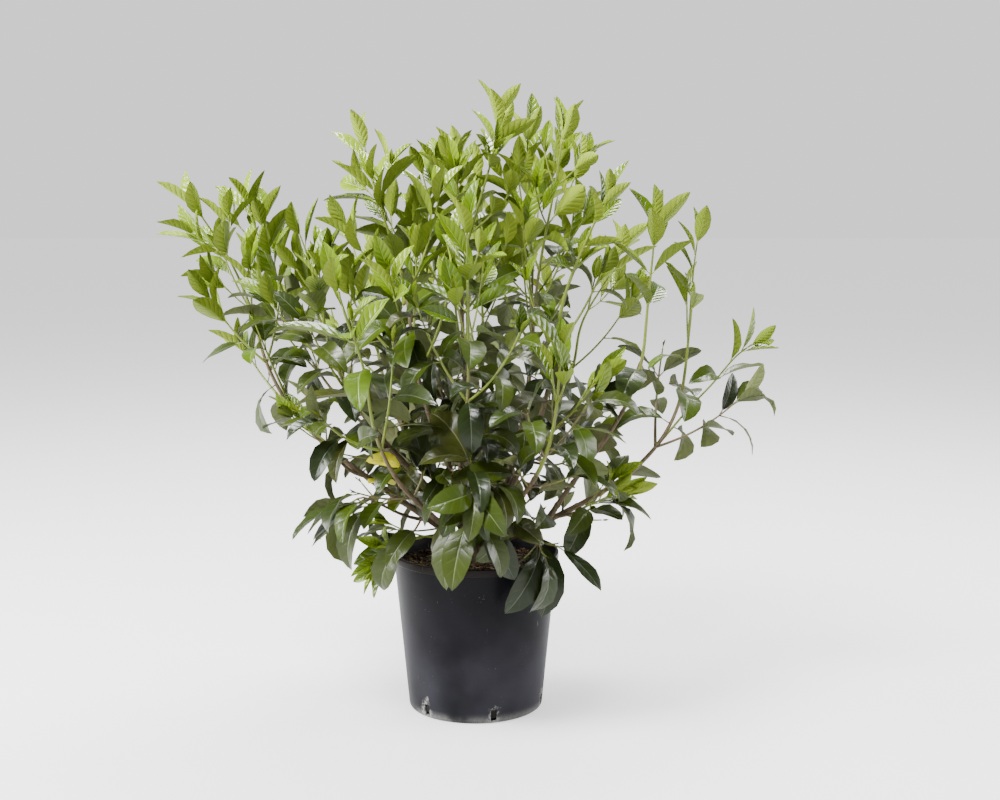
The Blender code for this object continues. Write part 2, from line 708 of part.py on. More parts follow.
def place_twigs(grown, spaces, crowd):
    """Every mass's leading shoot, and the side twigs that keep to its room and clear of the rest."""
    kept = {name: [shoots[0]] for name, (shoots, _) in grown.items()}
    for name in grown:
        crowd.add(name, twig_rod(kept[name][0], LEAF_CLEARANCE))
    for name, (shoots, _) in grown.items():
        for shoot in shoots[1:]:
            wide = twig_rod(shoot, LEAF_CLEARANCE)
            if spaces.holds(name, shoot.path[-1]) and not crowd.touches(wide, name, own=False):
                crowd.add(name, wide)
                kept[name].append(shoot)
            else:
                wide.free()
    return kept


def candidates(grown, twigs):
    """All the leaves of the shoots that were kept, in the order in which they are tried."""
    order = random.Random("leaves")
    waiting = []
    for name, (shoots, leaves) in grown.items():
        for index, shoot in enumerate(shoots):
            if not any(shoot is kept for kept in twigs[name]):
                continue
            for rank, leaf in leaves[index]:
                spaced = 0.0 if index == 0 and rank < TIP_PAIRS else 1.0
                waiting.append(Candidate(rank * order.random() ** 2, spaced, name, shoot, leaf))
    waiting.sort(key=lambda entry: entry.order)
    return waiting


def place_foliage(routes, crowd):
    """Every mass's twigs and leaves that keep clear of the limbs and of each other."""
    limbs = {limb.name: limb for limb in LIMBS}
    grown = {mass.name: grow(mass, limbs[mass.limb], routes[mass.limb]) for mass in MASSES}
    spaces = Spaces({name: shoots[0].path for name, (shoots, _) in grown.items()})
    twigs = place_twigs(grown, spaces, crowd)
    waiting = candidates(grown, twigs)
    middles, taken = [], []
    for spacing in LEAF_SPACINGS:
        left = []
        for entry in waiting:
            middle = entry.leaf.root + entry.leaf.direction * entry.leaf.length * LEAF_MIDDLE
            crowded = any((middle - other).length < spacing * entry.spaced for other in middles)
            if crowded or len(taken) == MOST_LEAVES:
                left.append(entry)
            elif spaces.holds(entry.mass, middle) and settle(crowd, entry.mass, entry.leaf):
                middles.append(middle)
                taken.append(entry)
        waiting = left
    foliage = {}
    for name, shoots in twigs.items():
        own = [entry for entry in taken if entry.mass == name]
        leafy = [shoots[0]] + [shoot for shoot in shoots[1:] if any(e.shoot is shoot for e in own)]
        foliage[name] = (leafy, [entry.leaf for entry in own])
    return foliage


def settle(crowd, owner, leaf):
    """Places a leaf where it keeps clear of all that is there, and tells whether it could."""
    whole = leaf_blade(leaf, LEAF_CLEARANCE)
    blade = leaf_blade(leaf, LEAF_CLEARANCE, BLADE_STARTS)
    clear = not (crowd.touches(whole, owner, own=False) or crowd.touches(blade, owner, own=True))
    whole.free()
    if clear:
        crowd.add(owner, blade)
    else:
        blade.free()
    return clear


def linked_vertices(seed):
    """All the vertices that edges join to one."""
    found, front = {seed}, [seed]
    while front:
        for link in front.pop().link_edges:
            new = set(link.verts) - found
            found |= new
            front.extend(new)
    return found


def drop_scraps(mesh):
    """Keeps a mesh's largest connected part, without loose scraps or sealed hollows."""
    shape = bmesh.new()
    shape.from_mesh(mesh)
    unseen, islands = set(shape.verts), []
    while unseen:
        islands.append(linked_vertices(next(iter(unseen))))
        unseen -= islands[-1]
    keep = max(islands, key=len)
    bmesh.ops.delete(shape, geom=[v for v in shape.verts if v not in keep], context="VERTS")
    shape.to_mesh(mesh)
    shape.free()


def fuse(name, shoots, leaves, collection, finish):
    """One solid of a mass's twigs and leaves, joined by a Boolean union that is then applied."""
    joined = bpy.data.collections.new("join_" + name)
    bpy.context.scene.collection.children.link(joined)
    made = object_from(name, twig_rod(shoots[0]), collection, finish)
    for index, shoot in enumerate(shoots[1:]):
        object_from(f"{name}_twig_{index}", twig_rod(shoot), joined)
    for index, leaf in enumerate(leaves):
        object_from(f"{name}_leaf_{index}", leaf_blade(leaf), joined)
    union = made.modifiers.new("join", "BOOLEAN")
    union.operation = "UNION"
    union.solver = "MANIFOLD"
    union.operand_type = "COLLECTION"
    union.collection = joined
    bpy.context.view_layer.update()
    graph = bpy.context.evaluated_depsgraph_get()
    mesh = bpy.data.meshes.new_from_object(made.evaluated_get(graph))
    drop_scraps(mesh)
    made.modifiers.clear()
    made.data = mesh
    for spare in list(joined.objects):
        bpy.data.objects.remove(spare)
    bpy.data.collections.remove(joined)


def main():
    """Builds the pot, its compost, the limbs and the foliage."""
    for spare in list(bpy.data.objects):
        bpy.data.objects.remove(spare)
    shrub = bpy.data.collections.new("potted_laurustinus")
    cutters = bpy.data.collections.new("cutters")
    for collection in (shrub, cutters):
        bpy.context.scene.collection.children.link(collection)
    make_pot(shrub, cutters)
    make_compost(shrub)
    crowd = Crowd()
    crowd.add("pot", pot_fence())
    routes = make_limbs(shrub, cutters, crowd)
    foliage = material("foliage", (0.120, 0.210, 0.030), 0.45)
    for name, (shoots, leaves) in place_foliage(routes, crowd).items():
        fuse(name, shoots, leaves, shrub, foliage)


main()
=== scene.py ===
"""Looks of the potted laurustinus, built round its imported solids.

Everything is in metres, +Z up, with the middle of the pot's underside at the origin.
A bearing is counted from +X, towards +Y, and a lean from the vertical, both in degrees.
"""

from __future__ import annotations

import json
import logging
import math
import random
from dataclasses import dataclass, field, replace
from enum import Enum
from functools import cache
from itertools import product
from typing import Any, Callable, Iterable, Mapping, Optional, Sequence, Union

import bmesh
import bpy
import numpy as np
from mathutils import Matrix, Vector, noise
from mathutils.bvhtree import BVHTree

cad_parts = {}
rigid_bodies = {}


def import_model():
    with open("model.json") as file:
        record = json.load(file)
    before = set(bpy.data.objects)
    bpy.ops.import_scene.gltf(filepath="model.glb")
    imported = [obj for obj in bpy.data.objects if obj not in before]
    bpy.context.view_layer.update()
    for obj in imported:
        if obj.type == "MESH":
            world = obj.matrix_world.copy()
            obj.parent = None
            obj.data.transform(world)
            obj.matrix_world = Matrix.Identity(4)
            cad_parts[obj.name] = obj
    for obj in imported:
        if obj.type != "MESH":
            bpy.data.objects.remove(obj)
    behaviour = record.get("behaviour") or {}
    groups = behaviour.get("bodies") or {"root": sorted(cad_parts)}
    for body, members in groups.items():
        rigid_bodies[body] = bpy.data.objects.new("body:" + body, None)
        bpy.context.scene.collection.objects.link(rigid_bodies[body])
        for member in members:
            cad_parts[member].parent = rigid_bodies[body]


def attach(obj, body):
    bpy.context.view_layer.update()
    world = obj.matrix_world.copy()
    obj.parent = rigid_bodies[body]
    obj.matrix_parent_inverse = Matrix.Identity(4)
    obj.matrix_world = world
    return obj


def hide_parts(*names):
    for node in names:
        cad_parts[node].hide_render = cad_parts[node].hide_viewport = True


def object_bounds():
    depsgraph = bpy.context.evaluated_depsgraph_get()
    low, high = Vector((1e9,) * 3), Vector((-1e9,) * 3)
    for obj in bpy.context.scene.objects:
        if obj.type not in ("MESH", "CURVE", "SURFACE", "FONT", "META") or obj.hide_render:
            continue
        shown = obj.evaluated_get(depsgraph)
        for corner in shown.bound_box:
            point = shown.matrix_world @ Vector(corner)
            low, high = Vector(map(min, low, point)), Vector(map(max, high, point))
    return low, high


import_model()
CAD_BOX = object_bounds()

log = logging.getLogger("laurustinus")

UP = Vector((0.0, 0.0, 1.0))
DOWN = -UP
BODY = "root"
VIEWPOINT = Vector((0.036, -2.29, 0.792))
WHITE = (1.0, 1.0, 1.0)
HALVES = (0.0, math.pi)

Colour = tuple[float, float, float]
Pair = tuple[float, float]
Profile = list[Pair]


def operator(operation: str, swapped: bool = False) -> Callable[[Wire, Value], Wire]:
    """Makes the method behind one of a wire's operators.

    Args:
        operation: What its Math node does.
        swapped: Whether the other value comes first, as in the reflected forms.

    Returns:
        The method.
    """

    def method(self: Wire, other: Value) -> Wire:
        """A Math node on the wire and another value."""
        return self.reckoned(operation, *((other, self) if swapped else (self, other)))

    return method


class Wire:
    """A shader socket that can be reckoned with: each operator adds a Math node."""

    def __init__(self, graph: Graph, socket: bpy.types.NodeSocket) -> None:
        """Wraps an output socket of a graph."""
        self.graph = graph
        self.socket = socket

    def reckoned(self, operation: str, *values: Value) -> Wire:
        """A Math node on some values, as a wire."""
        return self.graph.out("ShaderNodeMath", {"operation": operation}, dict(enumerate(values)))

    __add__, __radd__ = operator("ADD"), operator("ADD", True)
    __sub__, __rsub__ = operator("SUBTRACT"), operator("SUBTRACT", True)
    __mul__, __rmul__ = operator("MULTIPLY"), operator("MULTIPLY", True)
    __pow__ = operator("POWER")

    def __abs__(self) -> Wire:
        """The value without its sign."""
        return self.reckoned("ABSOLUTE", self)

    def sine(self) -> Wire:
        """The sine of the value."""
        return self.reckoned("SINE", self)

    def wrapped(self, length: float) -> Wire:
        """The distance to the nearest whole multiple of a length."""
        return self.reckoned("PINGPONG", self, length / 2)

    def ramp(self, low: float, high: float) -> Wire:
        """A smooth step that rises from 0 at low to 1 at high."""
        settings = {"interpolation_type": "SMOOTHSTEP"}
        return self.graph.out("ShaderNodeMapRange", settings, {0: self, 1: low, 2: high})


Value = Union[Wire, float, Sequence[float]]


class Graph:
    """The nodes of one material."""

    def __init__(self, owner: Union[bpy.types.Material, bpy.types.World]) -> None:
        """Takes the node tree of a material or a world."""
        self.tree = owner.node_tree

    def node(self, kind: str, settings: Mapping[str, Any], sockets: Mapping[Any, Value]) -> bpy.types.Node:
        """A node with its settings made first and its sockets set or linked after.

        Args:
            kind: The node's type.
            settings: The node's own settings.
            sockets: Values or wires by the name or the number of the input.

        Returns:
            The node.
        """
        made = self.tree.nodes.new(kind)
        for name, value in settings.items():
            setattr(made, name, value)
        self.feed(made, sockets)
        return made

    def feed(self, node: bpy.types.Node, sockets: Mapping[Any, Value]) -> None:
        """Sets or links a node's inputs.

        Args:
            node: The node.
            sockets: Values or wires by the name or the number of the input.
        """
        for key, value in sockets.items():
            if isinstance(value, Wire):
                self.tree.links.new(value.socket, node.inputs[key])
            elif isinstance(value, (int, float)):
                node.inputs[key].default_value = value
            else:
                size = len(node.inputs[key].default_value)
                node.inputs[key].default_value = (*value, 1.0)[:size]

    def out(
        self, kind: str, settings: Mapping[str, Any], sockets: Mapping[Any, Value], pick: Any = 0
    ) -> Wire:
        """One output of a new node, as a wire."""
        return Wire(self, self.node(kind, settings, sockets).outputs[pick])

    def mix(self, factor: Value, first: Value, second: Value) -> Wire:
        """A colour between two: the first where the factor is 0, the second where it is 1."""
        return self.out("ShaderNodeMix", {"data_type": "RGBA"}, {0: factor, 6: first, 7: second}, 2)

    def place(self) -> Wire:
        """The Object coordinates."""
        return self.out("ShaderNodeTexCoord", {}, {}, "Object")

    def mark(self, name: str, pick: str = "Vector") -> Wire:
        """An attribute of the piece."""
        return self.out("ShaderNodeAttribute", {"attribute_name": name}, {}, pick)

    def axes(self, vector: Wire) -> tuple[Wire, ...]:
        """The three parts of a vector."""
        node = self.node("ShaderNodeSeparateXYZ", {}, {0: vector})
        return tuple(Wire(self, socket) for socket in node.outputs)

    def noise(
        self, vector: Wire, scale: Union[float, Sequence[float]], detail: float = 3.0, rough: float = 0.5
    ) -> Wire:
        """Soft noise between 0 and 1 on some coordinates.

        Args:
            vector: The coordinates.
            scale: Lumps for each metre, the same all round or one number for each axis.
            detail: How many finer layers it has.
            rough: How strong the finer layers are.

        Returns:
            The noise's value.
        """
        if not isinstance(scale, (int, float)):
            vector = self.out("ShaderNodeVectorMath", {"operation": "MULTIPLY"}, {0: vector, 1: scale})
            scale = 1.0
        sockets = {"Vector": vector, "Scale": scale, "Detail": detail, "Roughness": rough}
        return self.out("ShaderNodeTexNoise", {}, sockets)

    def bump(self, height: Wire, distance: float) -> Wire:
        """A normal raised by a height, of which 1 stands for a distance in metres."""
        return self.out("ShaderNodeBump", {}, {"Height": height, "Distance": distance})


@dataclass(frozen=True)
class Finish:
    """A plain finish: a colour and a roughness."""

    name: str
    colour: Colour
    roughness: float
    shine: float = 0.3

    def coat(self, graph: Graph) -> dict[str, Value]:
        """What this finish puts on its shader, by the name of the shader's input."""
        return {"Base Color": self.colour, "Roughness": self.roughness, "Specular IOR Level": self.shine}

    @cache
    def material(self) -> bpy.types.Material:
        """The finish as a material, made when it is first asked for.

        Returns:
            The material.
        """
        made = bpy.data.materials.new(f"{self.name}_look")
        made.use_nodes = True
        graph = Graph(made)
        graph.feed(made.node_tree.nodes["Principled BSDF"], self.coat(graph))
        return made


@dataclass(frozen=True)
class Sweep(Finish):
    """The studio's pale floor, with an even glow of its own."""

    glow: float = 0.0

    def coat(self, graph: Graph) -> dict[str, Value]:
        """The plain finish with its glow."""
        return {**super().coat(graph), "Emission Color": WHITE, "Emission Strength": self.glow}


@dataclass(frozen=True)
class PotPlastic(Finish):
    """Black nursery plastic, satin and a little greyed, with lime round its foot and small scuffs; the
    greying thins out towards the top as painted shade under the foliage.
    """

    slot_bearing: float = 0.0
    slot_count: int = 6
    slot_height: float = 0.0
    foot_radius: float = 0.1
    band_foot: float = 1.0
    faded: Colour = (0.0250, 0.0245, 0.0315)
    lime: Colour = (0.15, 0.15, 0.14)
    band: Colour = (0.010, 0.008, 0.0068)
    # Heights over which the grey mottle thins out: painted shade on the upper wall, under the foliage.
    shade_heights: Pair = (0.06, 0.19)
    lime_heights: Pair = (0.002, 0.019)
    band_edge: float = 0.0004
    relief: float = 0.00012

    def plastic(self, graph: Graph, height: Wire, blotch: Wire) -> Wire:
        """The clean plastic's colour: mottled low on the wall and browner on the rim band; the mottle's
        thinning higher up is painted shade.

        Args:
            graph: The material's graph.
            height: The height of the place.
            blotch: Where the wall is greyed, held back towards the top as painted shade.

        Returns:
            The colour.
        """
        on_band = height.ramp(self.band_foot - self.band_edge, self.band_foot + self.band_edge)
        return graph.mix(on_band * 0.8, graph.mix(blotch * 0.7, self.colour, self.faded), self.band)

    def crust(self, graph: Graph, place: Wire) -> Wire:
        """How much lime there is: along the foot, and in a ring round each drainage slot.

        Args:
            graph: The material's graph.
            place: The Object coordinates.

        Returns:
            The lime's share.
        """
        x, y, z = graph.axes(place)
        cloud, crumbs = graph.noise(place, 55, 5, 0.65), graph.noise(place, 260, 3, 0.7)
        foot = (1 - z.ramp(*self.lime_heights)) * graph.noise(place, 13, 3).ramp(0.24, 0.48)
        turn = y.reckoned("ARCTAN2", y, x) - math.radians(self.slot_bearing)
        across = turn.wrapped(math.tau / self.slot_count) * self.foot_radius
        off_slot = across**2 + (z - self.slot_height) ** 2 * 0.5 + (cloud - 0.5) * 0.0007
        ring = (1 - off_slot.ramp(0.00004, 0.00016)) * crumbs.ramp(0.38, 0.56)
        return foot * (0.30 + crumbs * 0.40) + ring * 0.75

    def coat(self, graph: Graph) -> dict[str, Value]:
        """Mottled plastic, lime at the foot and round the slots, fine scratches and a drawn grain.

        Args:
            graph: The material's graph.

        Returns:
            Values or wires by the name of the shader's input.
        """
        place = graph.place()
        height = graph.axes(place)[2]
        # Painted shade: the grey mottle thins out towards the top of the wall, so the wall under the foliage
        # reads darker.
        falloff = 1 - height.ramp(*self.shade_heights) * 0.85
        blotch = graph.noise(place, 10, 3, 0.4).ramp(0.26, 0.74) * falloff
        crust = self.crust(graph, place)
        scratch = graph.noise(place, (260, 260, 34), 2, 0.4).ramp(0.735, 0.765)
        speck = graph.noise(place, 420, 1, 0.3).ramp(0.765, 0.80)
        marks = (scratch * 0.30 + speck * 0.25) * graph.noise(place, 22, 2).ramp(0.48, 0.66)
        limed = graph.mix(crust.ramp(0.0, 1.0), self.plastic(graph, height, blotch), self.lime)
        grain = graph.noise(place, 900, 2) * 0.35 + graph.noise(place, (40, 40, 700), 2)
        return {
            **super().coat(graph),
            "Base Color": graph.mix(marks, limed, self.lime),
            "Roughness": self.roughness + blotch * 0.10 + crust * 0.35,
            "Normal": graph.bump(grain + crust * 0.8, self.relief),
        }


@dataclass(frozen=True)
class Crumb(Finish):
    """Moist bark compost: dark crumbs with reddish and tan bits, and painted shade low in the pot, where only
    the drainage slots show it.
    """

    light: Colour = (0.085, 0.050, 0.026)
    # Near-black painted shade for the compost low in the pot, and the heights over which it gives way to the
    # crumbs' own colours.
    low_shade: Colour = (0.004, 0.004, 0.003)
    low_shade_heights: Pair = (0.03, 0.12)
    relief: float = 0.003

    def coat(self, graph: Graph) -> dict[str, Value]:
        """Crumbs of two browns with a coarse relief.

        Args:
            graph: The material's graph.

        Returns:
            Values or wires by the name of the shader's input.
        """
        place = graph.place()
        top = graph.mix(graph.noise(place, 420, 3, 0.6).ramp(0.50, 0.72), self.colour, self.light)
        # Painted shade: the compost turns near black low in the pot, where it is seen only through the
        # drainage slots.
        unshaded = graph.axes(place)[2].ramp(*self.low_shade_heights)
        return {
            **super().coat(graph),
            "Base Color": graph.mix(unshaded, self.low_shade, top),
            "Normal": graph.bump(graph.noise(place, 160, 6, 0.7), self.relief),
        }


@dataclass(frozen=True)
class Wood(Finish):
    """Bark that is green on young shoots and turns red-brown, ridged and grey-flecked with age."""

    green: Colour = (0.105, 0.135, 0.014)
    flecks: Colour = (0.140, 0.110, 0.070)
    relief: float = 0.0006

    def coat(self, graph: Graph) -> dict[str, Value]:
        """Colour by age, long ridges and small pale lenticels.

        Args:
            graph: The material's graph.

        Returns:
            Values or wires by the name of the shader's input.
        """
        grain = graph.mark("grain")
        ridges = graph.noise(grain, (620, 620, 70), 4, 0.6)
        patches = graph.noise(grain, (160, 160, 30))
        old = (graph.mark("age", "Fac") + (patches - 0.5) * 0.35).ramp(0.30, 0.58)
        lenticels = graph.noise(grain, (700, 700, 380), 0).ramp(0.70, 0.76)
        bark = graph.mix(ridges.ramp(0.35, 0.75) * 0.65 + lenticels * 0.3, self.colour, self.flecks)
        return {
            **super().coat(graph),
            "Base Color": graph.mix(old, self.green, bark),
            "Roughness": self.roughness - (1 - old) * 0.22,
            "Normal": graph.bump(ridges * old + lenticels * 0.4, self.relief),
        }


@dataclass(frozen=True)
class Lamina(Finish):
    """A side of a leaf blade, with side veins that curve forward from the midrib."""

    # The veins' colour: pale veins are their own colour, a darker one is painted shade in the grooves.
    vein_colour_and_shade: Colour = (0.3, 0.3, 0.1)
    vein_share: float = 0.3
    relief: float = 0.0005
    veins: int = 6
    sweep: float = 0.24

    def coat(self, graph: Graph) -> dict[str, Value]:
        """Veins in colour and relief, by the leaf's own length and breadth; a vein colour darker than the
        blade is painted shade in the sunken vein grooves.

        Args:
            graph: The material's graph.

        Returns:
            Values or wires by the name of the shader's input.
        """
        across, along, _ = graph.axes(graph.mark("blade"))
        off_rib = abs(across)
        phase = (along - off_rib * self.sweep + off_rib**2 * (self.sweep * 0.3)) * (self.veins * math.pi)
        swell = abs(phase.sine())
        falloff = 1 - off_rib.ramp(0.55, 1.0)
        vein = (1 - swell.ramp(0.0, 0.42)) * falloff
        rib = 1 - off_rib.ramp(0.02, 0.14)
        return {
            **super().coat(graph),
            "Base Color": graph.mix(vein * self.vein_share, self.colour, self.vein_colour_and_shade),
            "Normal": graph.bump(swell**0.6 * (0.35 + falloff * 0.65) - rib * 0.8, self.relief),
        }


@dataclass(frozen=True)
class Tint:
    """The finishes of one kind of leaf: its upper side, its midrib and its underside."""

    upper: Finish
    rib: Finish
    under: Finish


class Leafage(Enum):
    """The kinds of leaf by age, each made as a piece of its own."""

    YOUNG = "young_leaves"
    GROWN = "grown_leaves"
    OLD = "old_leaves"


def shaded(colour: Colour, share: float, lift: float = 0.0) -> Colour:
    """A colour made darker or paler."""
    return tuple(min(1.0, part * share + lift) for part in colour)


def young_tint(name: str, colour: Colour, under: Colour) -> Tint:
    """A soft, quilted leaf of the new flush.

    Args:
        name: The tint's name.
        colour: The colour of its upper side.
        under: The colour of its underside.

    Returns:
        The tint.
    """
    veins = {"veins": 7, "sweep": 0.28}
    pale, dark = shaded(colour, 1.5, 0.02), shaded(colour, 0.5)
    # Painted shade: the young upper side is darkened along its sunken vein grooves.
    upper = Lamina(f"{name}_upper", colour, 0.25, 0.25, dark, vein_share=0.22, relief=0.0007, **veins)
    lower = Lamina(f"{name}_under", under, 0.48, 0.10, pale, vein_share=0.32, relief=0.0008, **veins)
    return Tint(upper, Finish(f"{name}_rib", pale, 0.45), lower)


def old_tint(name: str, colour: Colour, under: Colour, roughness: float) -> Tint:
    """A leathery, glossy leaf of last year.

    Args:
        name: The tint's name.
        colour: The colour of its upper side.
        under: The colour of its underside.
        roughness: How rough its upper side is.

    Returns:
        The tint.
    """
    pale = shaded(colour, 1.8, 0.02)
    upper = Lamina(f"{name}_upper", colour, roughness, 0.18, pale, vein_share=0.10, relief=0.00025)
    lower = Lamina(f"{name}_under", under, 0.62, 0.12, pale, vein_share=0.2)
    return Tint(upper, Finish(f"{name}_rib", pale, 0.42), lower)


TINTS = {
    Leafage.YOUNG: (
        young_tint("tip_green", (0.106, 0.164, 0.001), (0.150, 0.200, 0.016)),
        young_tint("flush_green", (0.076, 0.124, 0.001), (0.118, 0.160, 0.012)),
        young_tint("lime_green", (0.053, 0.092, 0.001), (0.094, 0.134, 0.008)),
        young_tint("grass_green", (0.036, 0.064, 0.001), (0.075, 0.104, 0.009)),
    ),
    Leafage.GROWN: (
        old_tint("fresh_green", (0.034, 0.060, 0.001), (0.096, 0.122, 0.022), 0.32),
        old_tint("leaf_green", (0.022, 0.037, 0.001), (0.082, 0.102, 0.028), 0.31),
        old_tint("olive_green", (0.017, 0.028, 0.001), (0.074, 0.088, 0.030), 0.30),
        old_tint("yellowing", (0.720, 0.660, 0.030), (0.700, 0.640, 0.080), 0.50),
    ),
    Leafage.OLD: (
        old_tint("holly_green", (0.018, 0.027, 0.002), (0.082, 0.096, 0.034), 0.31),
        old_tint("deep_green", (0.011, 0.018, 0.002), (0.072, 0.086, 0.031), 0.29),
        old_tint("dark_green", (0.007, 0.012, 0.002), (0.064, 0.076, 0.028), 0.28),
        old_tint("bronzed_green", (0.021, 0.025, 0.003), (0.082, 0.090, 0.032), 0.33),
    ),
}
YELLOWING = 3
DEEPEST_YOUNG = len(TINTS[Leafage.YOUNG]) - 1


@dataclass(frozen=True)
class Mould:
    """A small shape as arrays, to be bent and gathered many times.

    Attributes:
        places: Each vertex's place on the flat or straight shape.
        faces: Each face's vertices.
        parts: Which part of the shape each face belongs to.
    """

    places: np.ndarray
    faces: tuple[tuple[int, ...], ...]
    parts: tuple[int, ...]

    @classmethod
    def of(cls, shape: bmesh.types.BMesh) -> Mould:
        """The mould of a bmesh, whose faces' material numbers name the parts.

        Args:
            shape: The bmesh, which is freed.

        Returns:
            The mould.
        """
        shape.verts.index_update()
        places = np.array([vertex.co[:] for vertex in shape.verts])
        faces = tuple(tuple(vertex.index for vertex in face.verts) for face in shape.faces)
        parts = tuple(face.material_index for face in shape.faces)
        shape.free()
        return cls(places, faces, parts)

    def ring(self) -> np.ndarray:
        """The ring that each vertex of a rod belongs to."""
        return np.rint(self.places[:, 2]).astype(int)


def linked(name: str, data: Any) -> bpy.types.Object:
    """A new object of the scene.

    Args:
        name: Its name.
        data: Its mesh, light or camera.

    Returns:
        The object, at the origin.
    """
    made = bpy.data.objects.new(name, data)
    bpy.context.scene.collection.objects.link(made)
    return made


@dataclass
class Batch:
    """Many small shapes gathered into one piece."""

    points: list[np.ndarray] = field(default_factory=list)
    faces: list[tuple[int, ...]] = field(default_factory=list)
    slots: list[int] = field(default_factory=list)
    marks: dict[str, list[np.ndarray]] = field(default_factory=dict)
    maps: list[np.ndarray] = field(default_factory=list)
    count: int = 0
    rim_angle: float = 110.0

    def add(
        self,
        mould: Mould,
        points: np.ndarray,
        slots: Union[int, Sequence[int]] = 0,
        marks: Optional[Mapping[str, np.ndarray]] = None,
        chart: Optional[np.ndarray] = None,
    ) -> None:
        """Takes one more shape.

        Args:
            mould: The mould that it comes from.
            points: The place of each of its vertices.
            slots: The material slot of all its faces, or of each.
            marks: Values for each vertex, by the attribute's name.
            chart: The place on the texture map of each vertex.
        """
        self.points.append(points)
        self.faces.extend(tuple(self.count + corner for corner in face) for face in mould.faces)
        self.slots.extend([slots] * len(mould.faces) if isinstance(slots, int) else slots)
        for name, values in (marks or {}).items():
            self.marks.setdefault(name, []).append(values)
        if chart is not None:
            self.maps.append(chart)
        self.count += len(points)

    def piece(self, name: str, finishes: Iterable[Finish]) -> bpy.types.Object:
        """The gathered shapes as one object.

        Args:
            name: The piece's name.
            finishes: The finish of each slot.

        Returns:
            The object, at the origin.
        """
        mesh = bpy.data.meshes.new(name)
        mesh.from_pydata(np.concatenate(self.points).tolist(), [], self.faces)
        mesh.polygons.foreach_set("material_index", self.slots)
        mesh.polygons.foreach_set("use_smooth", [True] * len(self.faces))
        for mark, found in self.marks.items():
            values = np.concatenate(found).astype(np.float32)
            kind, key = ("FLOAT", "value") if values.ndim == 1 else ("FLOAT_VECTOR", "vector")
            mesh.attributes.new(mark, kind, "POINT").data.foreach_set(key, values.ravel())
        if self.maps:
            corners = np.empty(len(mesh.loops), dtype=np.int32)
            mesh.loops.foreach_get("vertex_index", corners)
            chart = np.concatenate(self.maps)[corners].astype(np.float32)
            mesh.uv_layers.new(name="OFBake").data.foreach_set("uv", chart.ravel())
        for finish in finishes:
            mesh.materials.append(finish.material())
        mesh.set_sharp_from_angle(angle=math.radians(self.rim_angle))
        return linked(name, mesh)


def from_bmesh(name: str, shape: bmesh.types.BMesh, finish: Finish) -> bpy.types.Object:
    """A smooth object made of a bmesh, which is freed.

    Args:
        name: The object's name.
        shape: The bmesh, in its final place.
        finish: Its finish.

    Returns:
        The object, at the origin.
    """
    mesh = bpy.data.meshes.new(name)
    for face in shape.faces:
        face.smooth = True
    shape.to_mesh(mesh)
    shape.free()
    mesh.materials.append(finish.material())
    return linked(name, mesh)


WELD = 1e-6


def spun(profile: Profile, steps: int) -> bmesh.types.BMesh:
    """A closed solid of revolution about the pot's axis.

    Args:
        profile: Radius and height of each point, from axis to axis.
        steps: How many steps a full turn has.

    Returns:
        The solid, with its faces outward.
    """
    shape = bmesh.new()
    points = [shape.verts.new((radius, 0.0, height)) for radius, height in profile]
    edges = [shape.edges.new(pair) for pair in zip(points, points[1:])]
    turn = {"cent": (0, 0, 0), "axis": (0, 0, 1), "dvec": (0, 0, 0), "angle": math.tau}
    bmesh.ops.spin(shape, geom=points + edges, steps=steps, use_merge=True, **turn)
    bmesh.ops.remove_doubles(shape, verts=shape.verts, dist=WELD)
    bmesh.ops.recalc_face_normals(shape, faces=shape.faces)
    return shape


def arc(centre: Pair, radius: float, start: float, end: float, points: int) -> Profile:
    """Points on a round corner of a profile.

    Args:
        centre: Radius and height of the corner's centre.
        radius: The corner's radius.
        start: The first point's angle in degrees.
        end: The last point's angle in degrees.
        points: How many points it has.

    Returns:
        Radius and height of each point.
    """
    turns = np.radians(np.linspace(start, end, points))
    return [(centre[0] + radius * math.cos(t), centre[1] + radius * math.sin(t)) for t in turns]


def settle_in(piece: bpy.types.Object, nodes: Iterable[str]) -> None:
    """Lets a finished piece stand for its nodes, and reports it.

    Args:
        piece: The piece.
        nodes: The nodes that it stands for.
    """
    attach(piece, BODY)
    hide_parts(*nodes)
    log.info("%s: %d faces", piece.name, len(piece.data.polygons))


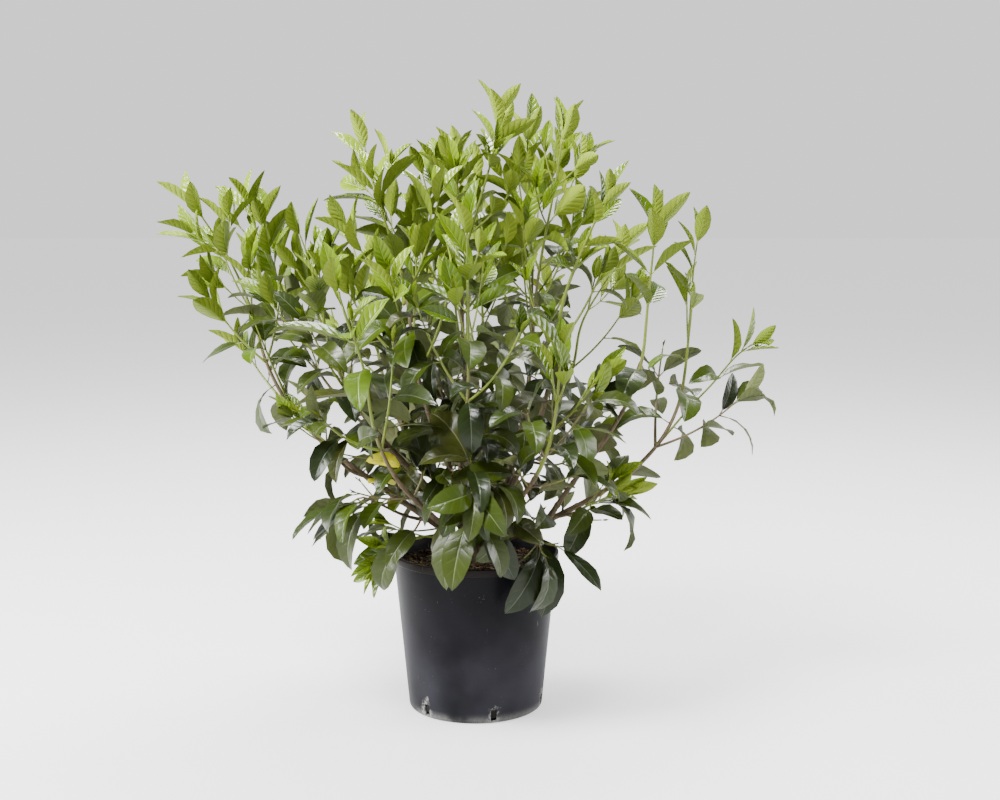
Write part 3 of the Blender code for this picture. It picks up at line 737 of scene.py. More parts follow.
@dataclass
class Pot:
    """The tapered nursery pot: a thin wall, a rim band, a rounded foot and drainage slots."""

    height: float = 0.232
    rim_radius: float = 0.120
    foot_radius: float = 0.098
    wall: float = 0.0020
    floor: float = 0.0030
    floor_fillet: float = 0.004
    wall_foot: float = 0.006
    wall_rise: float = 0.007
    band_height: float = 0.0105
    band_proud: float = 0.0020
    band_taper: float = 0.0002
    band_fillet: float = 0.0012
    band_step: float = 0.0001
    foot_round: float = 0.0050
    lip_round: float = 0.0014
    small_round: float = 0.6
    lip_foot: float = 0.7
    recess_radius: float = 0.074
    recess_slope: float = 0.002
    recess: float = 0.0016
    wall_shares: tuple[tuple[float, ...], ...] = ((0.25, 0.5, 0.75), (0.8, 0.6, 0.4, 0.2))
    steps: int = 120
    sharp_from: float = 35.0
    slot_count: int = 6
    slot_depth: float = 0.014
    slot_width: float = 0.0092
    slot_height: float = 0.0165
    slot_bottom: float = 0.0040
    slot_bearing: float = -74.0
    slot_flare: Pair = (1.06, 0.96)
    lime_share: float = 0.55

    def radius_at(self, height: float) -> float:
        """The outer radius at a height."""
        return self.foot_radius + (self.rim_radius - self.foot_radius) * height / self.height

    def profile(self) -> Profile:
        """The wall's section, from the inner floor over the rim to the underside.

        Returns:
            Radius and height of each point.
        """
        band_foot = self.height - self.band_height
        rim, inner = self.rim_radius + self.band_proud, self.rim_radius - self.wall
        low_rim = rim - self.band_taper
        lip, small, foot = self.lip_round, self.lip_round * self.small_round, self.foot_round
        up, down = ([self.height * share for share in shares] for shares in self.wall_shares)
        return [
            (0.0, self.floor),
            (self.radius_at(self.floor) - self.wall - self.floor_fillet, self.floor),
            (self.radius_at(self.wall_foot) - self.wall, self.wall_rise),
            *((self.radius_at(height) - self.wall, height) for height in up),
            (inner, self.height - lip),
            *arc((inner + small, self.height - small), small, 180, 90, 4)[1:],
            *arc((rim - lip, self.height - lip), lip, 90, 0, 5),
            (low_rim, band_foot + lip * self.lip_foot),
            *arc((low_rim - small, band_foot + small), small, 0, -90, 4)[1:],
            (self.radius_at(band_foot) + self.band_step, band_foot),
            (self.radius_at(band_foot), band_foot - self.band_fillet),
            *((self.radius_at(height), height) for height in down),
            *arc((self.radius_at(foot) - foot, foot), foot, -4, -90, 7),
            (self.recess_radius + self.recess_slope, 0.0),
            (self.recess_radius, self.recess),
            (0.0, self.recess),
        ]

    def slots(self) -> bpy.types.Object:
        """The drainage slots as one hidden tool, each a little wider at its top.

        Returns:
            The tool.
        """
        tools = bmesh.new()
        wide, narrow = self.slot_flare
        radius = self.radius_at(self.slot_bottom)
        for index in range(self.slot_count):
            bearing = math.radians(self.slot_bearing + index * 360 / self.slot_count)
            made = bmesh.ops.create_cube(tools, size=1.0)["verts"]
            bmesh.ops.scale(tools, verts=made, vec=(self.slot_depth, self.slot_width, self.slot_height))
            for vertex in made:
                vertex.co.y *= wide if vertex.co.z > 0 else narrow
            height = self.slot_bottom + self.slot_height / 2
            spot = Vector((radius * math.cos(bearing), radius * math.sin(bearing), height))
            place = Matrix.Translation(spot) @ Matrix.Rotation(bearing, 4, "Z")
            bmesh.ops.transform(tools, matrix=place, verts=made)
        return from_bmesh("slot_tools", tools, self.finish())

    def finish(self) -> PotPlastic:
        """The pot's plastic, with lime where this pot's slots are.

        Returns:
            The finish.
        """
        return PotPlastic(
            "pot_plastic",
            colour=(0.0023, 0.0024, 0.0033),
            roughness=0.40,
            shine=0.06,
            slot_bearing=self.slot_bearing,
            slot_count=self.slot_count,
            slot_height=self.slot_bottom + self.slot_height * self.lime_share,
            foot_radius=self.foot_radius,
            band_foot=self.height - self.band_height,
        )

    def build(self) -> None:
        """Makes the pot with its slots cut."""
        shell = from_bmesh("pot_shell", spun(self.profile(), self.steps), self.finish())
        tool = self.slots()
        cut = shell.modifiers.new("slots", "BOOLEAN")
        cut.operation = "DIFFERENCE"
        cut.solver = "EXACT"
        cut.object = tool
        graph = bpy.context.evaluated_depsgraph_get()
        mesh = bpy.data.meshes.new_from_object(shell.evaluated_get(graph))
        shell.modifiers.clear()
        shell.data = mesh
        bpy.data.objects.remove(tool)
        mesh.set_sharp_from_angle(angle=math.radians(self.sharp_from))
        settle_in(shell, ["pot"])


@dataclass
class Compost:
    """The bark compost in the pot: a crumbly top with chips and fibres lying on it."""

    pot: Pot
    depth: float = 0.016
    fall: float = 0.004
    fall_from: float = 0.04
    fall_over: float = 0.06
    gap: float = 0.0003
    corner: float = 0.009
    foot_margin: float = 0.005
    wall_margin: float = 0.004
    fibre_margin: float = 0.002
    rings: int = 44
    steps: int = 110
    crumb_height: float = 0.0028
    calm_edge: float = 0.004
    lumps: tuple[Pair, ...] = ((60, 0.6), (170, 0.45), (420, 0.2))
    crown_radius: float = 0.030
    chip_count: int = 900
    chip_bevel: float = 0.18
    chip_tilts: Pair = (0.45, 0.4)
    chip_knock: float = 0.2
    chip_lifts: Pair = (0.0002, 0.0012)
    chip_sizes: tuple[Pair, ...] = ((0.002, 0.0085), (0.0015, 0.004), (0.0008, 0.002))
    chip_slots: tuple[int, ...] = (0, 0, 0, 0, 0, 1, 1, 1, 2, 2, 4)
    fibre_count: int = 170
    fibre_reach: Pair = (0.006, 0.022)
    fibre_bend: float = 0.5
    fibre_step: float = 0.4
    fibre_radii: tuple[float, ...] = (0.0005, 0.0006, 0.0006, 0.0005, 0.0003)
    fibre_slots: tuple[int, ...] = (3, 3, 2)
    fibre_lift: float = 0.0012

    def top_at(self, x: float, y: float) -> float:
        """The height of the crumbly top at a place.

        Args:
            x: The place's x.
            y: The place's y.

        Returns:
            The height.
        """
        radius = math.hypot(x, y)
        sunk = min(1.0, max(0.0, radius - self.fall_from) / self.fall_over)
        level = self.pot.height - self.depth - self.fall * sunk
        spot = Vector((x, y, 0.0))
        lumps = sum(noise.noise(spot * scale) * share for scale, share in self.lumps)
        calm = min(1.0, max(0.0, (self.inner_radius() - radius) / self.calm_edge))
        return level + lumps * self.crumb_height * calm

    def inner_radius(self) -> float:
        """The pot's inner radius at the compost's edge."""
        return self.pot.radius_at(self.pot.height - self.depth - self.fall) - self.pot.wall - self.gap

    def bed(self) -> bpy.types.Object:
        """The body of the compost with its crumbly top.

        Returns:
            The piece.
        """
        edge = self.inner_radius()
        foot = self.pot.floor + self.gap
        level = self.pot.height - self.depth - self.fall
        profile = [(edge * ring / self.rings, level) for ring in range(self.rings + 1)]
        profile += [(self.pot.radius_at(self.corner) - self.pot.wall - self.gap, self.corner)]
        profile += [(self.pot.radius_at(foot) - self.pot.wall - self.foot_margin, foot), (0.0, foot)]
        shape = spun(profile, self.steps)
        for vertex in shape.verts:
            if vertex.co.z > level - WELD:
                vertex.co.z = self.top_at(vertex.co.x, vertex.co.y)
        return from_bmesh("compost_bed", shape, Crumb("compost", (0.020, 0.0125, 0.0075), 0.92))

    def spot(self, rng: random.Random) -> Pair:
        """A place on the top, clear of the shrub's foot and the wall.

        Args:
            rng: The random numbers.

        Returns:
            Its x and y.
        """
        edge = self.inner_radius() - self.wall_margin
        radius = math.sqrt(rng.uniform((self.crown_radius / edge) ** 2, 1.0)) * edge
        bearing = rng.uniform(0, math.tau)
        return radius * math.cos(bearing), radius * math.sin(bearing)

    def chips(self, batch: Batch, rng: random.Random) -> None:
        """Adds bark chips that lie on the top, each turned, tilted and knocked about.

        Args:
            batch: The litter's shapes.
            rng: The random numbers.
        """
        cube = bmesh.new()
        bmesh.ops.create_cube(cube, size=1.0)
        bevel = {"offset": self.chip_bevel, "segments": 1, "profile": 0.5, "material": -1}
        bmesh.ops.bevel(cube, geom=cube.edges[:], affect="EDGES", **bevel)
        chip = Mould.of(cube)
        for _ in range(self.chip_count):
            x, y = self.spot(rng)
            size = np.array([rng.uniform(*sizes) for sizes in self.chip_sizes])
            turned = Matrix.Rotation(rng.uniform(0, math.tau), 3, "Z")
            tilted = turned @ Matrix.Rotation(rng.gauss(0, self.chip_tilts[0]), 3, "Y")
            turn = np.array(tilted @ Matrix.Rotation(rng.gauss(0, self.chip_tilts[1]), 3, "X"))
            knocks = [[rng.uniform(-self.chip_knock, self.chip_knock)] * 3 for _ in chip.places]
            rough = chip.places * (1 + np.array(knocks))
            points = (rough * size) @ turn.T + (x, y, self.top_at(x, y) + rng.uniform(*self.chip_lifts))
            batch.add(chip, points, rng.choice(self.chip_slots))

    def fibres(self, batch: Batch, rng: random.Random) -> None:
        """Adds bent fibres that lie on the top.

        Args:
            batch: The litter's shapes.
            rng: The random numbers.
        """
        rings = len(self.fibre_radii)
        straw = rod_mould(4, rings)
        edge = self.inner_radius() - self.fibre_margin
        for _ in range(self.fibre_count):
            x, y = self.spot(rng)
            way = Matrix.Rotation(rng.uniform(0, math.tau), 3, "Z") @ Vector((1, 0, 0))
            reach = rng.uniform(*self.fibre_reach)
            bend = rng.uniform(-self.fibre_bend, self.fibre_bend)
            path = []
            for step in range(rings):
                way = Matrix.Rotation(bend * self.fibre_step, 3, "Z") @ way
                at = Vector((x, y, 0.0)) + way * (reach * step / (rings - 1))
                at *= min(1.0, edge / max(at.length, WELD))
                path.append(Vector((at.x, at.y, self.top_at(at.x, at.y) + self.fibre_lift)))
            batch.add(straw, swept(straw, path, self.fibre_radii), rng.choice(self.fibre_slots))

    def litter(self) -> bpy.types.Object:
        """Bark chips and pale fibres that lie on the top.

        Returns:
            The piece.
        """
        rng = random.Random("compost")
        batch = Batch()
        self.chips(batch, rng)
        self.fibres(batch, rng)
        finishes = (
            Finish("chip_dark", (0.018, 0.011, 0.007), 0.85, 0.1),
            Finish("chip_brown", (0.060, 0.030, 0.015), 0.80),
            Finish("chip_red", (0.110, 0.055, 0.026), 0.80),
            Finish("fibre_tan", (0.230, 0.155, 0.085), 0.85),
            Finish("moss_green", (0.050, 0.068, 0.016), 0.90),
        )
        return batch.piece("compost_litter", finishes)

    def build(self) -> None:
        """Makes the compost's two pieces."""
        for piece in (self.bed(), self.litter()):
            settle_in(piece, ["potting_compost"])


@cache
def rod_mould(sides: int, rings: int) -> Mould:
    """A rod along Z with its rings one unit apart.

    Args:
        sides: How many sides it has.
        rings: How many rings it has.

    Returns:
        The mould, kept for the next call.
    """
    rod = bmesh.new()
    depth = rings - 1
    bmesh.ops.create_cone(rod, cap_ends=True, segments=sides, radius1=1.0, radius2=1.0, depth=depth)
    bmesh.ops.translate(rod, verts=rod.verts, vec=(0.0, 0.0, depth / 2))
    if rings > 2:
        long_edges = [e for e in rod.edges if abs(e.verts[0].co.z - e.verts[1].co.z) > depth / 2]
        bmesh.ops.subdivide_edges(rod, edges=long_edges, cuts=rings - 2, use_grid_fill=True)
    return Mould.of(rod)


def swept(mould: Mould, path: Sequence[Vector], radii: Sequence[float]) -> np.ndarray:
    """A rod's vertices when it follows a path, turning as little as possible.

    Args:
        mould: The straight rod.
        path: The middle of each ring.
        radii: The radius of each ring.

    Returns:
        The place of each vertex.
    """
    normal = (path[1] - path[0]).orthogonal().normalized()
    sides, normals = [], []
    for index in range(len(path)):
        tangent = (path[min(index + 1, len(path) - 1)] - path[max(index - 1, 0)]).normalized()
        normal = (normal - tangent * normal.dot(tangent)).normalized()
        sides.append(normal.cross(tangent))
        normals.append(normal)
    ring = mould.ring()
    across = np.array(sides)[ring] * mould.places[:, :1] + np.array(normals)[ring] * mould.places[:, 1:2]
    return np.array(path)[ring] + across * np.array(radii)[ring][:, None]


def grain_of(mould: Mould, radii: np.ndarray, along: np.ndarray) -> np.ndarray:
    """Where each vertex of a rod lies in its wood: off the axis two ways, and along it."""
    return np.column_stack((mould.places[:, :2] * radii[:, None], along))


@dataclass(frozen=True)
class Limb:
    """A stem or a bough: where it springs from, where its tip is, and how thick it is."""

    name: str
    parent: str
    share: float
    bearing: float
    lean: float
    tip_reach: float
    tip_bearing: float
    tip_height: float
    tip_lean: float
    foot_radius: float
    tip_radius: float
    rings: int = 9


@dataclass(frozen=True)
class Mass:
    """A mass of foliage: the limb that carries it, and where its leading shoot ends."""

    name: str
    limb: str
    tip_reach: float
    tip_bearing: float
    tip_height: float
    tip_lean: float
    twig_pairs: int
    flush: float
    leaf_length: float = 0.088
    internode: float = 0.040
    spur_spacing: float = 0.050
    droop: float = 1.0
    deeper: int = 0


CROWN = "root_crown"
STEMS = (
    Limb("far_left_stem", CROWN, 0.30, 184, 50, 0.316, 176, 0.546, 12, 0.0056, 0.0026),
    Limb("left_stem", CROWN, 0.62, 200, 34, 0.208, 191, 0.538, 14, 0.0056, 0.0027),
    Limb("centre_left_stem", CROWN, 0.74, 238, 24, 0.133, 229, 0.573, 6, 0.0050, 0.0026),
    Limb("centre_stem", CROWN, 0.92, 130, 8, 0.036, 123, 0.596, 3, 0.0056, 0.0028),
    Limb("right_inner_stem", CROWN, 0.66, 345, 32, 0.119, 350, 0.550, 6, 0.0062, 0.0028),
    Limb("far_right_stem", CROWN, 0.30, 352, 64, 0.305, 4, 0.483, 6, 0.0054, 0.0024),
    Limb("back_left_stem", CROWN, 0.48, 130, 44, 0.272, 126, 0.525, 10, 0.0052, 0.0025),
    Limb("back_stem", CROWN, 0.70, 78, 34, 0.250, 88, 0.520, 8, 0.0052, 0.0025),
    Limb("front_left_stem", CROWN, 0.32, 234, 52, 0.235, 234, 0.485, 8, 0.0048, 0.0024),
    Limb("front_right_stem", CROWN, 0.42, 300, 48, 0.222, 300, 0.475, 10, 0.0048, 0.0024),
)
FORKS = (
    Limb("centre_right_stem", "right_inner_stem", 0.16, 30, 22, 0.090, 18, 0.572, 4, 0.0042, 0.0026),
    Limb("right_stem", "far_right_stem", 0.26, 348, 30, 0.244, 353, 0.552, 3, 0.0040, 0.0024),
    Limb("back_right_stem", "back_stem", 0.14, 52, 50, 0.268, 54, 0.512, 10, 0.0040, 0.0024),
    Limb("front_stem", "centre_left_stem", 0.20, 268, 38, 0.172, 268, 0.530, 6, 0.0038, 0.0024),
)
BOUGHS = tuple(
    replace(bough, rings=7)
    for bough in (
        Limb("left_upper_bough", "left_stem", 0.44, 164, 50, 0.275, 173, 0.590, 16, 0.0026, 0.0019),
        Limb("crown_left_bough", "centre_stem", 0.40, 165, 42, 0.086, 146, 0.655, 4, 0.0026, 0.0020),
        Limb("back_crown_bough", "centre_stem", 0.30, 92, 44, 0.140, 96, 0.600, 8, 0.0027, 0.0020),
        Limb("top_back_bough", "centre_right_stem", 0.36, 66, 40, 0.118, 44, 0.640, 4, 0.0026, 0.0020),
        Limb("far_right_bough", "far_right_stem", 0.46, 18, 66, 0.345, 9, 0.460, 46, 0.0024, 0.0017),
        Limb("lower_left_bough", "far_left_stem", 0.42, 190, 84, 0.238, 187, 0.412, 70, 0.0025, 0.0018),
        Limb("low_left_bough", "far_left_stem", 0.16, 205, 82, 0.165, 202, 0.322, 64, 0.0026, 0.0019),
        Limb("right_middle_bough", "right_inner_stem", 0.40, 322, 62, 0.150, 330, 0.440, 50, 0.0025, 0.0018),
        Limb("right_low_bough", "far_right_stem", 0.30, 332, 82, 0.186, 338, 0.318, 66, 0.0025, 0.0018),
        Limb("rim_left_bough", "front_left_stem", 0.08, 222, 92, 0.108, 222, 0.268, 92, 0.0024, 0.0018),
        Limb("rim_right_bough", "front_right_stem", 0.08, 318, 92, 0.102, 322, 0.272, 90, 0.0024, 0.0018),
        Limb("front_low_bough", "front_stem", 0.24, 272, 76, 0.150, 270, 0.360, 60, 0.0025, 0.0018),
        Limb("back_low_left_bough", "back_left_stem", 0.28, 112, 80, 0.200, 116, 0.345, 66, 0.0025, 0.0018),
        Limb("back_low_right_bough", "back_right_stem", 0.26, 40, 80, 0.195, 44, 0.340, 66, 0.0025, 0.0018),
    )
)
LIMBS = STEMS + FORKS + BOUGHS
MASSES = (
    Mass("far_left_spray", "far_left_stem", 0.396, 180, 0.728, 36, 4, 0.2, 0.094, 0.040, 0.12),
    Mass("left_shoulder_spray", "left_upper_bough", 0.335, 171, 0.735, 12, 4, 0.15, 0.096),
    Mass("left_spray", "left_stem", 0.248, 192, 0.694, 20, 4, 0.125, 0.094, deeper=1),
    Mass("left_crown_spray", "centre_left_stem", 0.154, 184, 0.812, 10, 5, 0.21, 0.092),
    Mass("crown_left_spray", "crown_left_bough", 0.074, 138, 0.796, 6, 4, 0.19, 0.088, deeper=1),
    Mass("top_spray", "centre_stem", 0.034, 10, 0.860, 4, 5, 0.23, 0.088),
    Mass("top_back_spray", "top_back_bough", 0.100, 40, 0.840, 4, 5, 0.21, 0.088),
    Mass("top_right_spray", "centre_right_stem", 0.126, 350, 0.838, 6, 5, 0.21, 0.088),
    Mass("right_crown_spray", "right_inner_stem", 0.190, 345, 0.748, 22, 1, 0.14, 0.084, deeper=1),
    Mass("right_spray", "right_stem", 0.257, 353, 0.716, 4, 0, 0.14, 0.088, 0.046, 0.5, deeper=1),
    Mass("far_right_spray", "far_right_stem", 0.322, 5, 0.680, 8, 2, 0.14, 0.086, 0.048, 0.12, deeper=1),
    Mass("far_right_low_spray", "far_right_bough", 0.405, 4, 0.532, 60, 0, 0.06, 0.080, 0.050, 0.5, deeper=1),
    Mass("lower_left_spray", "lower_left_bough", 0.250, 187, 0.440, 60, 2, 0.02, 0.106, 0.046, 0.12),
    Mass("low_left_spray", "low_left_bough", 0.205, 199, 0.310, 82, 1, 0.0, 0.110, 0.046, 0.05, 1.8),
    Mass("right_middle_spray", "right_middle_bough", 0.190, 335, 0.500, 30, 2, 0.05, 0.100, 0.046, 0.12),
    Mass("right_low_spray", "right_low_bough", 0.210, 342, 0.330, 72, 2, 0.03, 0.110, 0.046, 0.05, 2.2),
    Mass("rim_left_spray", "rim_left_bough", 0.172, 222, 0.246, 98, 2, 0.045, 0.116, 0.044, 0.05, 3.6),
    Mass("rim_right_spray", "rim_right_bough", 0.150, 312, 0.250, 96, 2, 0.0, 0.114, 0.044, 0.05, 3.2),
    Mass("front_low_spray", "front_low_bough", 0.185, 268, 0.320, 82, 4, 0.0, 0.112, 0.044, 0.05, 1.6),
    Mass("front_left_spray", "front_left_stem", 0.298, 235, 0.630, 22, 2, 0.12, 0.096, deeper=1),
    Mass("front_right_spray", "front_right_stem", 0.262, 297, 0.560, 26, 2, 0.08, 0.098, deeper=1),
    Mass("front_crown_spray", "front_stem", 0.205, 268, 0.715, 12, 3, 0.13, deeper=1),
    Mass("back_left_spray", "back_left_stem", 0.342, 126, 0.675, 20, 3, 0.16),
    Mass("back_spray", "back_stem", 0.318, 90, 0.695, 16, 3, 0.17),
    Mass("back_right_spray", "back_right_stem", 0.340, 48, 0.660, 22, 2, 0.15),
    Mass("back_crown_spray", "back_crown_bough", 0.175, 98, 0.800, 10, 3, 0.19),
    Mass("back_low_left_spray", "back_low_left_bough", 0.285, 116, 0.385, 60, 2, 0.03, 0.104),
    Mass("back_low_right_spray", "back_low_right_bough", 0.280, 46, 0.380, 60, 2, 0.03, 0.104),
)

# Gaps of sky as the camera sees them, on the upright plane through the pot's axis: the middle's place across
# and up, then half the width and half the height.
OPENINGS = (
    (0.168, 0.556, 0.029, 0.063),
    (-0.290, 0.369, 0.036, 0.055),
    (-0.331, 0.489, 0.026, 0.038),
    (0.191, 0.234, 0.022, 0.044),
    (0.345, 0.653, 0.023, 0.054),
    (0.286, 0.567, 0.026, 0.026),
    (0.015, 0.168, 0.053, 0.035),
    (0.169, 0.171, 0.024, 0.032),
    (-0.096, 0.228, 0.025, 0.018),
    (0.316, 0.333, 0.041, 0.050),
    (0.243, 0.426, 0.017, 0.023),
    (-0.191, 0.337, 0.028, 0.022),
    (0.169, 0.311, 0.020, 0.018),
    (0.000, 0.573, 0.020, 0.017),
    (-0.196, 0.596, 0.016, 0.023),
)


def polar(reach: float, bearing: float, height: float) -> Vector:
    """The point at a reach and a bearing from the pot's axis."""
    angle = math.radians(bearing)
    return Vector((reach * math.cos(angle), reach * math.sin(angle), height))


def heading(bearing: float, lean: float) -> Vector:
    """The unit vector that leans from the vertical towards a bearing."""
    return polar(math.sin(math.radians(lean)), bearing, math.cos(math.radians(lean)))


CURVE_PULL = 0.38


def curve_through(start: Vector, start_way: Vector, end: Vector, end_way: Vector, rings: int) -> list[Vector]:
    """Points along a cubic curve that leaves and arrives in given directions.

    Args:
        start: Where it leaves.
        start_way: The unit direction there.
        end: Where it arrives.
        end_way: The unit direction there.
        rings: How many points it has.

    Returns:
        The points.
    """
    reach = (end - start).length * CURVE_PULL
    near, far = start + start_way * reach, end - end_way * reach
    points = []
    for t in np.linspace(0, 1, rings):
        s = 1.0 - t
        points.append(start * s**3 + near * (3 * s * s * t) + far * (3 * s * t * t) + end * t**3)
    return points


class Path:
    """A smooth line of points with places by the share of its length."""

    def __init__(self, points: Sequence[Vector]) -> None:
        """Measures a line.

        Args:
            points: Its points, from foot to tip.
        """
        self.points = list(points)
        steps = [(b - a).length for a, b in zip(points, points[1:])]
        self.reached = np.concatenate(([0.0], np.cumsum(steps)))
        self.length = float(self.reached[-1])

    def at(self, share: float) -> tuple[Vector, Vector]:
        """The point and the unit tangent at a share of the length.

        Args:
            share: The share, from 0 at the foot to 1 at the tip.

        Returns:
            The point and the tangent.
        """
        wanted = min(max(share, 0.0), 1.0) * self.length
        index = min(int(np.searchsorted(self.reached, wanted, side="right")) - 1, len(self.points) - 2)
        a, b = self.points[index], self.points[index + 1]
        step = self.reached[index + 1] - self.reached[index]
        return a.lerp(b, (wanted - self.reached[index]) / step), (b - a).normalized()

    def cut(self, first: float, last: float, spacing: float) -> list[Vector]:
        """Evenly spaced points between two shares of the length."""
        rings = max(3, round((last - first) * self.length / spacing) + 1)
        return [self.at(share)[0] for share in np.linspace(first, last, rings)]


@dataclass(frozen=True)
class Leaf:
    """A leaf: its root on a twig's axis, how it stands and bends, and its colour."""

    root: Vector
    direction: Vector
    normal: Vector
    length: float
    width: float
    curl: float
    stalk: float
    fold: float
    twist: float
    wave: float
    phase: float
    age: Leafage
    tint: int


@dataclass(frozen=True)
class Shoot:
    """A leafy shoot of a mass.

    Attributes:
        path: Its middle line, from foot to tip.
        foot_radius: Its radius at the foot.
        tip_radius: Its radius at the tip.
        mass: The mass that it belongs to.
        leader: Whether it leads its mass.
        flush: How far down from its tip the young leaves reach.
    """

    path: Path
    foot_radius: float
    tip_radius: float
    mass: Mass
    leader: bool
    flush: float


@dataclass
class Skeleton:
    """The root crown, the stems and the boughs, along the same routes as their solids."""

    crown_foot: float = 0.2163
    crown_height: float = 0.056
    crown_radii: tuple[float, ...] = (0.0270, 0.0205, 0.0175, 0.0160, 0.0120)
    crown_lobes: int = 5
    crown_lobe_depth: float = 0.16
    stem_spread: float = 0.0095
    full_lean: float = 30.0
    foliage_starts: float = 0.62
    fine_rings: int = 49
    ring_spacing: float = 0.0045
    sides: int = 12
    overlap: float = 0.004
    taper: float = 1.15
    flare: float = 0.55
    flare_reach: float = 0.012
    node_spacing: float = 0.042
    node_reach: float = 0.0024
    node_swell: float = 0.22
    node_shift: float = 0.04
    ridge: float = 0.10
    ridge_scale: tuple[float, ...] = (420.0, 420.0, 60.0)
    ridge_shift: float = 99.0
    oldest: float = 1.15
    old_height: float = 0.27
    young_over: float = 0.34
    crown_rings: int = 15
    crown_sides: int = 30
    crown_sunk: float = 0.003
    crown_lumps: float = 0.16
    crown_scale: tuple[float, ...] = (130.0, 130.0, 45.0)
    routes: dict[str, Path] = field(default_factory=dict)

    def route(self, limb: Limb) -> Path:
        """A limb's whole curve, from inside what carries it.

        Args:
            limb: The limb.

        Returns:
            The curve.
        """
        start = self.start_of(limb)
        tip = polar(limb.tip_reach, limb.tip_bearing, limb.tip_height)
        ways = heading(limb.bearing, limb.lean), heading(limb.tip_bearing, limb.tip_lean)
        return Path(curve_through(start, ways[0], tip, ways[1], self.fine_rings))

    def start_of(self, limb: Limb) -> Vector:
        """Where a limb springs from its parent.

        Args:
            limb: The limb.

        Returns:
            The point.
        """
        if limb.parent != CROWN:
            return self.routes[limb.parent].at(limb.share)[0]
        spread = heading(limb.bearing, 90) * (self.stem_spread * min(1.0, limb.lean / self.full_lean))
        return Vector((0.0, 0.0, self.crown_foot + self.crown_height * limb.share)) + spread

    def lay_out(self) -> None:
        """Works out every limb's route, parents first."""
        for limb in LIMBS:
            self.routes[limb.name] = self.route(limb)

    def woody_share(self, limb: Limb) -> float:
        """The share of a limb's route that is bare wood, as its solid has it.

        Args:
            limb: The limb.

        Returns:
            The share.
        """
        rings = max(3, round(limb.rings * self.foliage_starts))
        coarse = Path(self.routes[limb.name].points[:: (self.fine_rings - 1) // (limb.rings - 1)])
        return float(coarse.reached[rings - 1] / coarse.length)

    def radius(self, limb: Limb, share: float) -> float:
        """A limb's radius at a share of its route."""
        return limb.tip_radius + (limb.foot_radius - limb.tip_radius) * (1 - share) ** self.taper

    def knotty(self, radius: float, along: float) -> float:
        """A radius with the slight swelling of old leaf nodes along a limb."""
        off = abs(along / self.node_spacing % 1.0 - 0.5) * self.node_spacing
        return radius * (1 + self.node_swell * math.exp(-((off / self.node_reach) ** 2)))

    def age_at(self, height: float) -> float:
        """How old the wood is at a height: 1 is brown, 0 is green."""
        return min(1.0, max(0.0, self.oldest - (height - self.old_height) / self.young_over))

    def limb_tube(self, batch: Batch, limb: Limb) -> None:
        """Adds a limb's bare wood to the wood piece, with ridges and swollen nodes.

        Args:
            batch: The wood piece's shapes.
            limb: The limb.
        """
        route = self.routes[limb.name]
        last = min(1.0, self.woody_share(limb) + self.overlap / route.length)
        path = route.cut(0.0, last, self.ring_spacing)
        shift = random.Random(limb.name).uniform(0, self.node_shift)
        radii = []
        for ring in range(len(path)):
            share = last * ring / (len(path) - 1)
            flare = 1 + self.flare * math.exp(-share * route.length / self.flare_reach)
            radii.append(self.knotty(self.radius(limb, share) * flare, share * route.length + shift))
        mould = rod_mould(self.sides, len(path))
        points = swept(mould, path, radii)
        places = points * self.ridge_scale + (0.0, 0.0, shift * self.ridge_shift)
        rough = np.array([noise.noise(Vector(place)) for place in places])
        ring = mould.ring()
        middles = np.array(path)[ring]
        points = middles + (points - middles) * (1 + self.ridge * rough)[:, None]
        self.add_wood(batch, mould, points, np.array(radii)[ring], ring * self.ring_spacing)

    def add_wood(
        self, batch: Batch, mould: Mould, points: np.ndarray, radii: np.ndarray, along: np.ndarray
    ) -> None:
        """Adds a tube with what its bark reads: its grain and its age.

        Args:
            batch: The wood piece's shapes.
            mould: The tube's mould.
            points: The place of each vertex.
            radii: The radius at each vertex.
            along: The distance along the tube at each vertex.
        """
        age = np.array([self.age_at(height) for height in points[:, 2]])
        batch.add(mould, points, marks={"grain": grain_of(mould, radii, along), "age": age})

    def crown(self, batch: Batch) -> None:
        """Adds the root crown, flared and buttressed, flat on the compost.

        Args:
            batch: The wood piece's shapes.
        """
        shares = np.linspace(0, 1, self.crown_rings)
        foot, height = self.crown_foot - self.crown_sunk, self.crown_height + self.crown_sunk
        path = [Vector((0, 0, foot + height * share)) for share in shares]
        radii = np.interp(shares, np.linspace(0, 1, len(self.crown_radii)), self.crown_radii)
        mould = rod_mould(self.crown_sides, self.crown_rings)
        points = swept(mould, path, radii)
        for point in points:
            flare = max(0.0, 1.0 - (point[2] - self.crown_foot) / self.crown_height)
            bearing = math.atan2(point[1], point[0])
            swell = 1.0 + self.crown_lobe_depth * flare * math.cos(self.crown_lobes * bearing)
            swell += self.crown_lumps * noise.noise(Vector(point * self.crown_scale))
            point[:2] *= swell
        ring = mould.ring()
        self.add_wood(batch, mould, points, radii[ring], shares[ring] * self.crown_height)

    def build(self) -> None:
        """Makes the woody frame as one piece."""
        batch = Batch()
        self.crown(batch)
        for limb in LIMBS:
            self.limb_tube(batch, limb)
        finish = Wood("bark", (0.062, 0.044, 0.021), 0.72, 0.2)
        piece = batch.piece("stems", [finish])
        settle_in(piece, [CROWN, *(limb.name for limb in LIMBS)])


